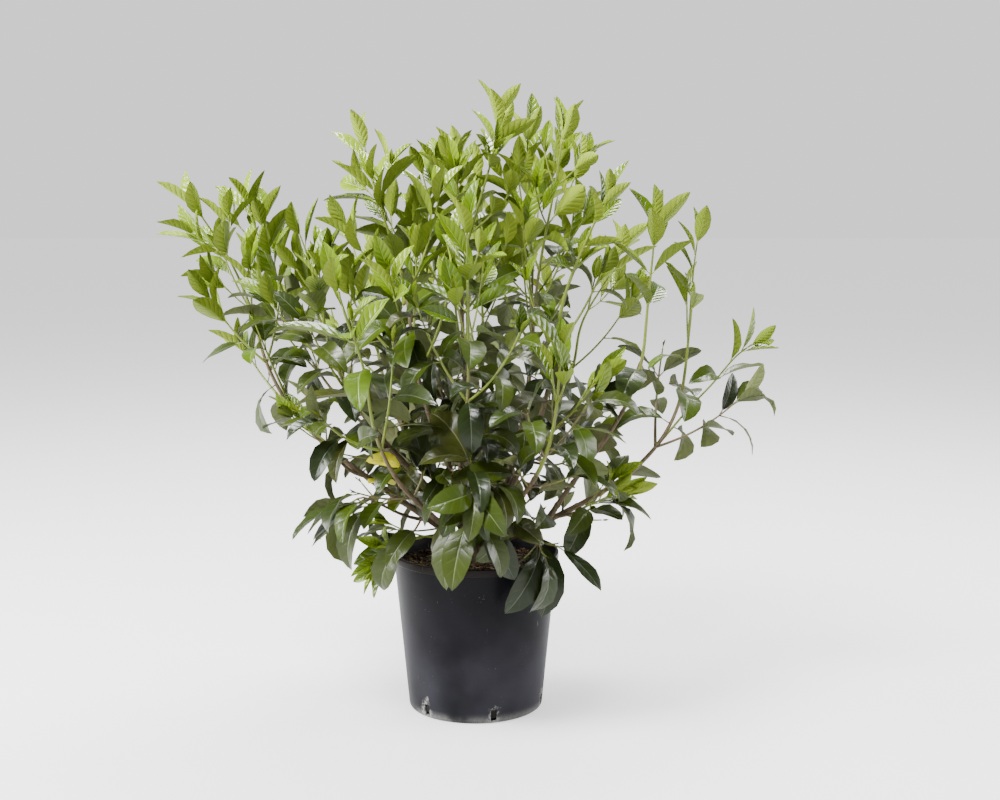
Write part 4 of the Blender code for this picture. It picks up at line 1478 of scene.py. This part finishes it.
@dataclass(frozen=True)
class Stance:
    """How the leaves of one age stand on a shoot.

    Attributes:
        share: Their length, as a share of the mass's leaf length.
        widest: The most that they lean from the shoot, in degrees.
        droop: How much they are pulled down.
        skyward: How much their upper side turns to the sky.
        outward: How much it turns away from the pot's axis.
        curl: How far the blade bends along its length, in degrees.
        stalk: The stalk's share of the leaf's length.
        folds: How far the halves are folded up, in degrees.
        wave: The height of the edge's waves.
    """

    share: float
    widest: float
    droop: float
    skyward: float
    outward: float
    curl: float
    stalk: float
    folds: Pair
    wave: float


@dataclass(frozen=True)
class Habit:
    """How the shrub grows: the source's rule, carried on to finer twigs and life-sized leaves."""

    first_node: float = 0.004
    first_internode: float = 0.015
    internode_growth: float = 0.010
    bare_foot: float = 0.012
    ripe_distance: float = 0.20
    tip_leaf_share: float = 0.70
    old_leaf_share: float = 0.88
    leaf_share_step: float = 0.12
    young: Stance = Stance(0.95, 68.0, 0.10, 0.35, 0.55, 20.0, 0.07, (18.0, 38.0), 0.0011)
    old: Stance = Stance(1.0, 80.0, 0.24, 0.65, 0.32, 76.0, 0.12, (8.0, 30.0), 0.0017)
    side_share: float = 0.92
    late_flush: float = 0.05
    late_share: float = 0.74
    slimness: float = 0.395
    broadening: float = 0.070
    tip_angle: float = 18.0
    angle_step: float = 9.0
    angle_jitter: float = 8.0
    droops: Pair = (0.4, 1.3)
    lengths: Pair = (0.82, 1.14)
    widths: Pair = (0.88, 1.08)
    curls: Pair = (0.3, 1.5)
    waves: Pair = (0.2, 1.0)
    twist: float = 0.35
    roll: float = 0.55
    leader_rings: int = 17
    leader_spacing: float = 0.006
    twig_spread: Pair = (30.0, 48.0)
    twig_rings: int = 9
    twig_lift: float = 0.5
    twig_share: float = 0.60
    twig_reach: Pair = (0.75, 1.25)
    twig_steps: Pair = (0.1, 0.7)
    spur_steps: Pair = (0.1, 0.9)
    flush_fall: float = 0.50
    twigs_from: float = 0.06
    twigs_to: float = 0.86
    shortest_twig: float = 0.040
    longest_twig: float = 0.150
    tip_radius: float = 0.0011
    spur_reach: Pair = (0.035, 0.085)
    spurs_from: float = 0.15
    spur_lean: Pair = (45.0, 75.0)
    spur_radius: float = 0.0019
    spur_rings: int = 7
    spur_lift: float = 0.4
    twig_jitter: float = 0.3
    spur_jitter: float = 0.4
    twig_slimmer: float = 0.78
    leaf_jitter: float = 0.25
    young_bands: tuple[tuple[float, tuple[int, ...]], ...] = (
        (0.34, (0, 0, 1)),
        (0.72, (0, 1, 1, 2)),
        (1.0, (1, 2, 2, 3)),
    )
    tone_jitter: Pair = (0.85, 1.15)
    grown_band: float = 0.045
    least_flush: float = 0.03
    stray_grown: float = 0.22
    grown_tints: tuple[int, ...] = (0, 0, 1, 1, 2)
    stray_tints: tuple[int, ...] = (1, 2, 2)
    old_tints: tuple[int, ...] = (0, 0, 1, 1, 2, 3)

    def nodes(self, shoot: Shoot) -> list[float]:
        """Distances of the leaf pairs from a shoot's tip, close at the tip and wider apart below.

        Args:
            shoot: The shoot.

        Returns:
            The distances.
        """
        found, at, step = [], self.first_node, self.first_internode
        while at < shoot.path.length - self.bare_foot:
            found.append(at)
            at += step
            step = min(step + self.internode_growth, shoot.mass.internode)
        return found

    def leader(self, mass: Mass, limb: Limb, skeleton: Skeleton) -> Shoot:
        """A mass's leading shoot: on along its limb's route, then on to the mass's own tip.

        Args:
            mass: The mass.
            limb: The limb that carries it.
            skeleton: The limbs' routes.

        Returns:
            The shoot.
        """
        route = skeleton.routes[limb.name]
        share = skeleton.woody_share(limb)
        _, way = route.at(1.0)
        tip = polar(mass.tip_reach, mass.tip_bearing, mass.tip_height)
        end_way = heading(mass.tip_bearing, mass.tip_lean)
        last = curve_through(route.points[-1], way, tip, end_way, self.leader_rings)
        path = Path(route.cut(share, 1.0, self.leader_spacing)[:-1] + last)
        return Shoot(path, skeleton.radius(limb, share), self.tip_radius, mass, True, mass.flush)

    def sideways(
        self, rng: random.Random, tangent: Vector, around: float, jitter: float, leans: Pair
    ) -> Vector:
        """The way in which a side shoot leaves the wood that carries it.

        Args:
            rng: The random numbers of what it belongs to.
            tangent: The way of the wood there.
            around: Its place round the wood, in radians.
            jitter: How far it may be off that place, in radians.
            leans: The least and the most that it leans from the tangent, in degrees.

        Returns:
            The unit direction.
        """
        around += rng.uniform(-jitter, jitter)
        out = Matrix.Rotation(around, 3, tangent) @ tangent.orthogonal().normalized()
        spread = math.radians(rng.uniform(*leans))
        return (tangent * math.cos(spread) + out * math.sin(spread)).normalized()

    def arched(self, point: Vector, way: Vector, lift: Vector, reach: float, rings: int) -> Path:
        """The path of a side shoot that bends as it grows.

        Args:
            point: Where it springs.
            way: The unit direction there.
            lift: What bends it, added to its direction.
            reach: How far its tip is.
            rings: How many points it has.

        Returns:
            The path.
        """
        end_way = (way + lift).normalized()
        end = point + (way + end_way).normalized() * reach
        return Path(curve_through(point, way, end, end_way, rings))

    def side_twigs(self, mass: Mass, rng: random.Random, leader: Shoot) -> list[Shoot]:
        """Opposite pairs of side twigs along a leading shoot, each pair turned square to the last.

        Args:
            mass: The mass.
            rng: The mass's own random numbers.
            leader: The leading shoot.

        Returns:
            The side twigs.
        """
        path = leader.path
        turn = rng.uniform(0, math.pi)
        pairs = mass.twig_pairs
        twigs = []
        for pair in range(pairs):
            along = (pair + rng.uniform(*self.twig_steps)) / pairs
            share = self.twigs_from + (self.twigs_to - self.twigs_from) * along
            point, tangent = path.at(share)
            radius = leader.foot_radius + (leader.tip_radius - leader.foot_radius) * share
            past = path.length * (1 - share)
            flush = mass.flush - past * self.flush_fall
            for half in HALVES:
                around = turn + pair * math.pi / 2 + half
                way = self.sideways(rng, tangent, around, self.twig_jitter, self.twig_spread)
                reach = past * self.twig_share * rng.uniform(*self.twig_reach)
                reach = max(self.shortest_twig, min(self.longest_twig, reach))
                curve = self.arched(point, way, (tangent + UP) * self.twig_lift, reach, self.twig_rings)
                foot = radius * self.twig_slimmer
                twigs.append(Shoot(curve, foot, self.tip_radius, mass, False, flush))
        return twigs

    def spurs(self, mass: Mass, limb: Limb, skeleton: Skeleton) -> list[Shoot]:
        """Short twigs of old leaves in pairs along a limb's bare wood.

        Args:
            mass: The mass that the limb carries.
            limb: The limb.
            skeleton: The limbs' routes.

        Returns:
            The short twigs.
        """
        rng = random.Random(limb.name)
        route = skeleton.routes[limb.name]
        last = skeleton.woody_share(limb)
        bare = (last - self.spurs_from) * route.length
        turn = rng.uniform(0, math.pi)
        found = []
        for pair in range(int(bare / mass.spur_spacing)):
            along = (pair + rng.uniform(*self.spur_steps)) * mass.spur_spacing
            share = self.spurs_from + along / route.length
            point, tangent = route.at(share)
            for half in HALVES:
                around = turn + pair * math.pi / 2 + half
                way = self.sideways(rng, tangent, around, self.spur_jitter, self.spur_lean)
                reach = rng.uniform(*self.spur_reach)
                curve = self.arched(point, way, UP * self.spur_lift, reach, self.spur_rings)
                found.append(Shoot(curve, self.spur_radius, self.tip_radius, mass, False, 0.0))
        return found

    def tone(self, distance: float, shoot: Shoot, rng: random.Random) -> tuple[Leafage, int]:
        """The age and the tint of a leaf, by how far below its shoot's tip it is.

        Args:
            distance: How far the leaf is from its shoot's tip.
            shoot: The shoot.
            rng: The mass's own random numbers.

        Returns:
            The leaf's kind and tint.
        """
        reached = distance * rng.uniform(*self.tone_jitter)
        for share, tints in self.young_bands:
            if reached < shoot.flush * share:
                return Leafage.YOUNG, min(DEEPEST_YOUNG, rng.choice(tints) + shoot.mass.deeper)
        if reached < shoot.flush + self.grown_band and shoot.flush > self.least_flush:
            return Leafage.GROWN, rng.choice(self.grown_tints)
        if rng.random() < self.stray_grown:
            return Leafage.GROWN, rng.choice(self.stray_tints)
        return Leafage.OLD, rng.choice(self.old_tints)

    def leaf(self, shoot: Shoot, rng: random.Random, index: int, distance: float, out: Vector) -> Leaf:
        """One leaf of a pair.

        Args:
            shoot: The shoot that it grows on.
            rng: The mass's own random numbers.
            index: The pair's number from the tip.
            distance: The pair's distance from the tip.
            out: The way that this leaf's side faces.

        Returns:
            The leaf.
        """
        point, tangent = shoot.path.at(1.0 - distance / shoot.path.length)
        age, tint = self.tone(distance, shoot, rng)
        fresh = age is Leafage.YOUNG
        stance = self.young if fresh else self.old
        spread = min(self.tip_angle + self.angle_step * index, stance.widest)
        angle = math.radians(spread + rng.uniform(-self.angle_jitter, self.angle_jitter))
        droop = stance.droop * (1.0 if fresh else shoot.mass.droop) * rng.uniform(*self.droops)
        way = (tangent * math.cos(angle) + out * math.sin(angle) + DOWN * droop).normalized()
        inward = (tangent - way * tangent.dot(way)).normalized()
        skyward = UP - way * UP.dot(way)
        outward = Vector((point.x, point.y, 0.0)).normalized() * stance.outward
        normal = inward * (1 - stance.skyward) + skyward * stance.skyward + outward
        normal += way.cross(inward) * rng.uniform(-self.roll, self.roll)
        normal = (normal - way * normal.dot(way)).normalized()
        first = self.tip_leaf_share if shoot.flush > 0 else self.old_leaf_share
        grown = min(1.0, first + self.leaf_share_step * index)
        share = stance.share * (1.0 if shoot.leader else self.side_share)
        if fresh and shoot.mass.flush < self.late_flush:
            share *= self.late_share
        length = shoot.mass.leaf_length * grown * share * rng.uniform(*self.lengths)
        ripe = min(1.0, distance / self.ripe_distance)
        width = length * (self.slimness + self.broadening * ripe) * rng.uniform(*self.widths)
        return Leaf(
            root=point,
            direction=way,
            normal=normal,
            length=length,
            width=width,
            curl=math.radians(stance.curl * rng.uniform(*self.curls)),
            stalk=length * stance.stalk,
            fold=math.radians(rng.uniform(*stance.folds)),
            twist=rng.uniform(-self.twist, self.twist),
            wave=rng.uniform(*self.waves) * stance.wave,
            phase=rng.uniform(0, math.tau),
            age=age,
            tint=tint,
        )

    def leaves(self, shoot: Shoot, rng: random.Random) -> list[tuple[float, Leaf]]:
        """The opposite pairs of leaves along a shoot, each pair square to the last.

        Args:
            shoot: The shoot.
            rng: The mass's own random numbers.

        Returns:
            Each leaf's distance from the tip, and the leaf.
        """
        turn = rng.uniform(0, math.pi)
        found = []
        for index, distance in enumerate(self.nodes(shoot)):
            _, tangent = shoot.path.at(1.0 - distance / shoot.path.length)
            side = tangent.orthogonal().normalized()
            around = turn + index * math.pi / 2 + rng.uniform(-self.leaf_jitter, self.leaf_jitter)
            for half in HALVES:
                out = Matrix.Rotation(around + half, 3, tangent) @ side
                found.append((distance, self.leaf(shoot, rng, index, distance, out)))
        return found


class BladeShape(Enum):
    """The outlines of leaves: half-widths at the stations between root and tip."""

    LANCE = (0.33, 0.76, 1.00, 0.92, 0.62, 0.25)
    ELLIPSE = (0.37, 0.81, 1.00, 0.94, 0.67, 0.29)


@dataclass
class LeafMaker:
    """Bends leaves out of one flat closed blade of a few faces, each with its stalk."""

    stations: tuple[float, ...] = (0.0, 0.09, 0.24, 0.42, 0.62, 0.80, 0.93, 1.0)
    columns: tuple[float, ...] = (-1.0, -0.55, -0.040, 0.040, 0.55, 1.0)
    thickness: float = 0.00042
    stalk_radius: float = 0.0010
    tiles: int = 4
    tile_share: float = 0.44
    tile_margin: float = 0.02
    tile_length: float = 0.46
    rib_within: float = 0.02
    rib_reach: float = 0.1
    weld: float = 1e-5
    least_bend: float = 1e-3
    old_roll: float = 0.06
    wave_turns: float = 11.0
    wave_offset: float = 1.3
    sunk_rib: float = -0.0003
    raised_rib: float = -0.0005
    stalk_overlap: float = 0.05
    stalk_least: float = 0.55
    stalk_full: float = 0.16
    stalk_shares: tuple[float, ...] = (0.0, 0.35, 0.7, 1.0)
    stalk_sizes: tuple[float, ...] = (1.35, 1.0, 0.9, 0.55)

    def __post_init__(self) -> None:
        """Cuts the blade and the stalk."""
        self.blade = self.cut_blade()
        self.stalk = rod_mould(5, 4)

    def cut_blade(self) -> Mould:
        """Cuts the flat blade, whose parts are its upper side, its midrib and its underside.

        Returns:
            The blade, with each vertex's share across, share along and side.
        """
        blade = bmesh.new()
        wide, long = len(self.columns) - 1, len(self.stations) - 1
        bmesh.ops.create_grid(blade, x_segments=wide, y_segments=long, size=1.0)
        for vertex in blade.verts:
            column, row = round((vertex.co.x + 1) / 2 * wide), round((vertex.co.y + 1) / 2 * long)
            ends = row in (0, long)
            edge = ends or column in (0, wide)
            vertex.co = (0.0 if ends else self.columns[column], self.stations[row], 0.0 if edge else 1.0)
        for face in blade.faces:
            face.material_index = 1 if abs(face.calc_center_median().x) < self.rib_within else 0
        upper = blade.verts[:] + blade.edges[:] + blade.faces[:]
        copied = bmesh.ops.duplicate(blade, geom=upper)["geom"]
        lower = [item for item in copied if isinstance(item, bmesh.types.BMFace)]
        for vertex in (item for item in copied if isinstance(item, bmesh.types.BMVert)):
            vertex.co.z = -vertex.co.z
        bmesh.ops.reverse_faces(blade, faces=lower)
        for face in lower:
            face.material_index = 1 if face.material_index == 1 else 2
        bmesh.ops.remove_doubles(blade, verts=blade.verts, dist=self.weld)
        return Mould.of(blade)

    def midline(self, leaf: Leaf, along: np.ndarray) -> tuple[np.ndarray, np.ndarray, np.ndarray]:
        """The blade's middle line, its normal and its side direction at some shares of its length.

        Args:
            leaf: The leaf.
            along: The shares.

        Returns:
            Points, normals and side directions.
        """
        way, normal = np.array(leaf.direction), np.array(leaf.normal)
        side = np.cross(way, normal)
        bend = max(leaf.curl, self.least_bend)
        turn = bend * along[:, None]
        start = np.array(leaf.root) + way * leaf.stalk
        reach = leaf.length - leaf.stalk
        points = start + reach * (way * np.sin(turn) - normal * (1 - np.cos(turn))) / bend
        normals = normal * np.cos(turn) + way * np.sin(turn)
        twist = leaf.twist * along[:, None]
        sides = side * np.cos(twist) + normals * np.sin(twist)
        normals = normals * np.cos(twist) - side * np.sin(twist)
        return points, normals, sides

    def bent(self, leaf: Leaf) -> np.ndarray:
        """Bends the blade for one leaf.

        Args:
            leaf: The leaf.

        Returns:
            The place of each vertex.
        """
        across, along, thick = self.blade.places.T
        fresh = leaf.age is Leafage.YOUNG
        shape = BladeShape.LANCE if fresh else BladeShape.ELLIPSE
        half = np.interp(along, self.stations, (0.0, *shape.value, 0.0)) * leaf.width / 2
        points, normals, sides = self.midline(leaf, along)
        off = np.abs(across)
        rise = off * half * math.sin(leaf.fold)
        rise -= half * (0.0 if fresh else self.old_roll) * off**3
        phase = leaf.phase + along * self.wave_turns + np.sign(across) * self.wave_offset
        rise += leaf.wave * off**2 * np.sin(phase)
        on_rib = (off < self.rib_reach) & (thick != 0)
        rib = np.where(thick < 0, self.raised_rib, self.sunk_rib) * on_rib
        lift = rise + thick * self.thickness / 2 + rib
        spread = across * half * math.cos(leaf.fold)
        return points + sides * spread[:, None] + normals * lift[:, None]

    def slots_for(self, tint: int) -> list[int]:
        """The material slot of each face of a blade with one tint."""
        return [tint * 3 + part for part in self.blade.parts]

    def chart_for(self, tint: int) -> np.ndarray:
        """The blade's place on the texture map, which has a tile for each tint and side.

        Args:
            tint: The number of the tint.

        Returns:
            The place of each vertex on the map.
        """
        across, along, thick = self.blade.places.T
        left = (tint + 0.5 + across * self.tile_share) / self.tiles
        low = (self.tile_margin + along * self.tile_length) + np.where(thick < 0, 0.5, 0.0)
        return np.column_stack((left, low))

    def add_leaf(self, batch: Batch, leaf: Leaf) -> None:
        """Adds a leaf's blade to the piece of its kind."""
        marks = {"blade": self.blade.places}
        batch.add(self.blade, self.bent(leaf), self.slots_for(leaf.tint), marks, self.chart_for(leaf.tint))

    def add_stalk(self, batch: Batch, leaf: Leaf) -> None:
        """Adds a leaf's stalk, from inside the twig to the foot of its blade.

        Args:
            batch: The stalks' shapes.
            leaf: The leaf.
        """
        reach = leaf.stalk + (leaf.length - leaf.stalk) * self.stalk_overlap
        path = [leaf.root + leaf.direction * (reach * share) for share in self.stalk_shares]
        size = self.stalk_radius * min(1.0, self.stalk_least + leaf.length / self.stalk_full)
        points = swept(self.stalk, path, [size * share for share in self.stalk_sizes])
        batch.add(self.stalk, points, list(Leafage).index(leaf.age))


@dataclass
class Crowd:
    """What has been placed so far, kept by the cube that it lies in, so that new leaves keep clear."""

    cell: float = 0.11
    same_root: float = 0.004
    rod_length: float = 0.024
    cells: dict[tuple[int, int, int], list[tuple]] = field(default_factory=dict)

    def key(self, middle: Vector) -> tuple[int, int, int]:
        """The cube that a point lies in."""
        return tuple(int(math.floor(part / self.cell)) for part in middle)

    def near(self, middle: Vector, radius: float) -> list[tuple]:
        """Finds everything whose ball touches a ball.

        Args:
            middle: The ball's middle.
            radius: The ball's radius.

        Returns:
            The faces, the ball's middle and radius, and the root of each shape found.
        """
        cubes = product(*((part - 1, part, part + 1) for part in self.key(middle)))
        found = [thing for cube in cubes for thing in self.cells.get(cube, ())]
        return [thing for thing in found if (thing[1] - middle).length < radius + thing[2]]

    def touches(self, tree: BVHTree, middle: Vector, radius: float, root: Vector) -> bool:
        """Whether a shape crosses a leaf, or a twig that it doesn't grow on.

        Args:
            tree: The shape's faces.
            middle: The middle of the shape's ball.
            radius: The radius of the shape's ball.
            root: The shape's root.

        Returns:
            True if it crosses anything.
        """
        for placed, _, _, other in self.near(middle, radius):
            if other and (root - other).length < self.same_root:
                continue
            if placed.overlap(tree):
                return True
        return False

    def add(self, tree: BVHTree, middle: Vector, radius: float, root: Optional[Vector] = None) -> None:
        """Takes a shape as placed, with the middle and the radius of its ball and a leaf's root."""
        self.cells.setdefault(self.key(middle), []).append((tree, middle, radius, root))

    def add_rod(self, path: Path, foot: float, tip: float) -> None:
        """Takes a limb or a twig as placed, as short three-sided lengths.

        Args:
            path: Its path.
            foot: Its radius at its foot.
            tip: Its radius at its tip.
        """
        mould = rod_mould(3, 2)
        points = path.cut(0.0, 1.0, self.rod_length)
        for index, (a, b) in enumerate(zip(points, points[1:])):
            radius = foot + (tip - foot) * index / (len(points) - 1)
            places = swept(mould, [a, b], [radius, radius]).tolist()
            tree = BVHTree.FromPolygons(places, mould.faces)
            self.add(tree, a.lerp(b, 0.5), (b - a).length / 2 + radius)


@dataclass
class Foliage:
    """All the shoots with their leaves, in place of the masses."""

    skeleton: Skeleton
    habit: Habit = Habit()
    maker: LeafMaker = field(default_factory=LeafMaker)
    spacings: tuple[float, ...] = (0.030, 0.022, 0.015)
    twig_sides: int = 6
    twig_ring: float = 0.008
    old_shoot: float = 0.20
    young_wood: float = 0.10
    ripening: float = 0.26
    ripest: float = 0.8
    proxy_stations: tuple[float, ...] = (0.12, 0.40, 0.70, 0.97)
    proxy_widths: tuple[float, ...] = (0.35, 0.98, 0.85, 0.15)
    low_edge: float = 0.010
    pot_height: float = Pot.height
    pot_reach: float = 0.128
    low_root: float = 0.30
    young_tips: Pair = (0.020, 0.034)
    old_tips: Pair = (0.008, 0.014)
    tip_gape: float = 0.16
    tip_slimness: float = 0.30
    opening_shares: tuple[float, ...] = (0.3, 0.6, 0.95)
    yellow_spots: tuple[Vector, ...] = (Vector((-0.125, -0.06, 0.385)), Vector((-0.122, -0.06, 0.345)))
    placed: list[Leaf] = field(default_factory=list)
    shoots: list[Shoot] = field(default_factory=list)

    def proxy(self, leaf: Leaf) -> tuple[BVHTree, Vector, float]:
        """A leaf's few main faces, for finding what it would cross.

        Args:
            leaf: The leaf.

        Returns:
            The faces, and the middle and the radius of the ball round them.
        """
        points, _, sides = self.maker.midline(leaf, np.array(self.proxy_stations))
        half = (np.array(self.proxy_widths) * leaf.width / 2)[:, None]
        edges = zip(points - sides * half, points + sides * half)
        corners = [Vector(place) for pair in edges for place in pair]
        faces = [(0, 1, 3, 2), (2, 3, 5, 4), (4, 5, 7, 6)]
        middle = Vector(points[1].tolist()).lerp(Vector(points[2].tolist()), 0.5)
        radius = max((corner - middle).length for corner in corners)
        return BVHTree.FromPolygons(corners, faces), middle, radius

    def grow(self) -> list[Leaf]:
        """Grows every shoot, with its leaves that wait for a place.

        Returns:
            The leaves in the order in which they are tried.
        """
        limbs = {limb.name: limb for limb in LIMBS}
        order = random.Random("leaves")
        waiting = []
        for mass in MASSES:
            rng = random.Random(mass.name)
            limb = limbs[mass.limb]
            leader = self.habit.leader(mass, limb, self.skeleton)
            twigs = self.habit.side_twigs(mass, rng, leader)
            for shoot in (leader, *twigs, *self.habit.spurs(mass, limb, self.skeleton)):
                self.shoots.append(shoot)
                for distance, leaf in self.habit.leaves(shoot, rng):
                    waiting.append((distance * order.random() ** 2, leaf))
        waiting.sort(key=lambda entry: entry[0])
        return [leaf for _, leaf in waiting]

    def in_opening(self, leaf: Leaf) -> bool:
        """Whether a leaf would close one of the crown's openings, seen from the front.

        Args:
            leaf: The leaf.

        Returns:
            True if it would.
        """
        for share in self.opening_shares:
            spot = leaf.root + leaf.direction * (leaf.length * share)
            near = VIEWPOINT.y / (VIEWPOINT.y - spot.y)
            across = VIEWPOINT.x + (spot.x - VIEWPOINT.x) * near
            height = VIEWPOINT.z + (spot.z - VIEWPOINT.z) * near
            for x, z, half_width, half_height in OPENINGS:
                if ((across - x) / half_width) ** 2 + ((height - z) / half_height) ** 2 < 1:
                    return True
        return False

    def inside(self, leaf: Leaf) -> bool:
        """Whether a leaf's tip keeps within the solids' reach and out of the pot.

        Args:
            leaf: The leaf.

        Returns:
            True if it does.
        """
        tip = leaf.root + leaf.direction * leaf.length
        low, high = CAD_BOX
        edge = self.low_edge
        boxed = all(low[axis] - edge < tip[axis] < high[axis] + edge for axis in range(3))
        low_tip = tip.z < self.pot_height and math.hypot(tip.x, tip.y) < self.pot_reach
        in_pot = low_tip and leaf.root.z < self.low_root
        return boxed and not in_pot

    def place(self) -> None:
        """Places the leaves that keep clear of each other and of the wood, widely spaced ones first."""
        waiting = self.grow()
        crowd = Crowd()
        for limb in LIMBS:
            crowd.add_rod(self.skeleton.routes[limb.name], limb.foot_radius, limb.tip_radius)
        for shoot in self.shoots:
            crowd.add_rod(shoot.path, shoot.foot_radius, shoot.tip_radius)
        for spacing in self.spacings:
            left = []
            for leaf in waiting:
                if not self.inside(leaf) or self.in_opening(leaf):
                    continue
                tree, middle, radius = self.proxy(leaf)
                near = (thing[1] for thing in crowd.near(middle, radius) if thing[3])
                if any((middle - other).length < spacing for other in near):
                    left.append(leaf)
                elif not crowd.touches(tree, middle, radius, leaf.root):
                    crowd.add(tree, middle, radius, leaf.root)
                    self.placed.append(leaf)
            waiting = left
        log.info("%d leaves on %d shoots", len(self.placed), len(self.shoots))

    def tip_leaves(self) -> None:
        """Adds a small upright pair of unfolding leaves at each shoot's tip."""
        rng = random.Random("tips")
        for shoot in self.shoots:
            point, tangent = shoot.path.at(1.0)
            side = Matrix.Rotation(rng.uniform(0, math.pi), 3, tangent) @ tangent.orthogonal().normalized()
            fresh = shoot.flush > 0.0
            reach = self.young_tips if fresh else self.old_tips
            for sign in (-1, 1):
                way = (tangent + side * (self.tip_gape * sign)).normalized()
                inward = -side * sign
                length = rng.uniform(*reach)
                leaf = Leaf(
                    root=point,
                    direction=way,
                    normal=(inward - way * way.dot(inward)).normalized(),
                    length=length,
                    width=length * self.tip_slimness,
                    curl=0.1,
                    stalk=0.001,
                    fold=0.5,
                    twist=0.0,
                    wave=0.0003,
                    phase=0.0,
                    age=Leafage.YOUNG,
                    tint=rng.choice((0, 0, 1)) if fresh else DEEPEST_YOUNG,
                )
                self.placed.append(leaf)

    def yellow(self) -> None:
        """Turns the leaf nearest to each of the yellow spots yellow."""
        for spot in self.yellow_spots:
            middles = [leaf.root + leaf.direction * (leaf.length / 2) for leaf in self.placed]
            nearest = min(range(len(middles)), key=lambda index: (middles[index] - spot).length)
            self.placed[nearest] = replace(self.placed[nearest], age=Leafage.GROWN, tint=YELLOWING)

    def twigs(self) -> bpy.types.Object:
        """The shoots' wood as one piece, green at the tips and brown at the feet.

        Returns:
            The piece.
        """
        batch = Batch()
        for shoot in self.shoots:
            path = shoot.path.cut(0.0, 1.0, self.twig_ring)
            shares = np.linspace(0, 1, len(path))
            radii = shoot.foot_radius + (shoot.tip_radius - shoot.foot_radius) * shares
            mould = rod_mould(self.twig_sides, len(path))
            ring = mould.ring()
            left = (1 - shares) * shoot.path.length + (0.0 if shoot.flush > 0 else self.old_shoot)
            age = np.clip((left - self.young_wood) / self.ripening, 0.0, self.ripest)[ring]
            grain = grain_of(mould, radii[ring], ring * self.twig_ring)
            batch.add(mould, swept(mould, path, radii), marks={"grain": grain, "age": age})
        return batch.piece("twigs", [Wood("young_bark", (0.070, 0.052, 0.022), 0.62, 0.25)])

    def build(self) -> None:
        """Makes the twigs, the stalks and the leaves, each kind a piece of its own."""
        self.place()
        self.tip_leaves()
        self.yellow()
        nodes = [mass.name for mass in MASSES]
        settle_in(self.twigs(), nodes)
        stalks = Batch()
        batches = {age: Batch() for age in Leafage}
        for leaf in self.placed:
            self.maker.add_leaf(batches[leaf.age], leaf)
            self.maker.add_stalk(stalks, leaf)
        finishes = (
            Finish("stalk_green", (0.190, 0.225, 0.035), 0.45),
            Finish("stalk_pale", (0.095, 0.110, 0.026), 0.45),
            Finish("stalk_reddish", (0.066, 0.054, 0.023), 0.50),
        )
        settle_in(stalks.piece("leaf_stalks", finishes), nodes)
        for age, batch in batches.items():
            kinds = [finish for tint in TINTS[age] for finish in (tint.upper, tint.rib, tint.under)]
            settle_in(batch.piece(age.value, kinds), nodes)


@dataclass
class Studio:
    """A pale floor, soft light from all round and a camera at the photograph's angle."""

    floor_size: float = 30.0
    camera_down: float = 8.4
    lens: float = 57.6
    horizon: float = 1.15
    zenith: float = 0.38
    sky_band: Pair = (0.30, 0.75)
    sensor: float = 36.0
    aim_height: float = 0.5
    lamps: tuple[tuple[str, Colour, float, float], ...] = (
        ("key", (-1.2, -1.3, 3.0), 1.1, 520),
        ("top", (0.5, 1.2, 2.8), 1.2, 260),
        ("left", (-2.4, -0.3, 1.0), 1.3, 210),
        ("right", (2.4, 0.3, 0.9), 1.2, 90),
    )

    def floor(self) -> None:
        """Lays the pale floor."""
        shape = bmesh.new()
        bmesh.ops.create_grid(shape, x_segments=1, y_segments=1, size=self.floor_size / 2)
        made = from_bmesh("floor", shape, Sweep("pale_floor", (0.38, 0.38, 0.38), 0.9, 0.1, glow=0.95))

    def light(self, name: str, spot: Sequence[float], size: float, power: float) -> None:
        """Hangs a square soft light that looks at the crown.

        Args:
            name: The light's name.
            spot: Where it hangs.
            size: Its side.
            power: Its power in watts.
        """
        data = bpy.data.lights.new(name, "AREA")
        data.shape = "SQUARE"
        data.size = size
        data.energy = power
        made = linked(name, data)
        made.location = spot
        aim = UP * self.aim_height - Vector(spot)
        made.rotation_euler = aim.to_track_quat("-Z", "Y").to_euler()

    def world(self) -> None:
        """Puts a white surround round everything, brightest at the horizon."""
        world = bpy.data.worlds.new("white_surround")
        world.use_nodes = True
        graph = Graph(world)
        _, _, rise = graph.axes(graph.out("ShaderNodeTexCoord", {}, {}, "Generated"))
        strength = self.horizon - abs(rise).ramp(*self.sky_band) * (self.horizon - self.zenith)
        graph.feed(world.node_tree.nodes["Background"], {"Color": WHITE, "Strength": strength})
        bpy.context.scene.world = world

    def camera(self) -> None:
        """Sets the camera up at the photograph's viewpoint."""
        data = bpy.data.cameras.new("camera")
        data.sensor_width = self.sensor
        data.lens = self.lens
        made = linked("camera", data)
        made.location = VIEWPOINT
        made.rotation_euler = (math.radians(90 - self.camera_down), 0.0, 0.0)
        bpy.context.scene.camera = made

    def build(self) -> None:
        """Sets the whole studio up."""
        self.floor()
        self.world()
        for lamp in self.lamps:
            self.light(*lamp)
        self.camera()


def main() -> None:
    """Builds the pot, the compost, the wood, the foliage and the studio."""
    logging.basicConfig(level=logging.INFO, format="%(message)s")
    pot = Pot()
    pot.build()
    Compost(pot).build()
    skeleton = Skeleton()
    skeleton.lay_out()
    skeleton.build()
    Foliage(skeleton).build()
    Studio().build()


if __name__ == "__main__":
    main()
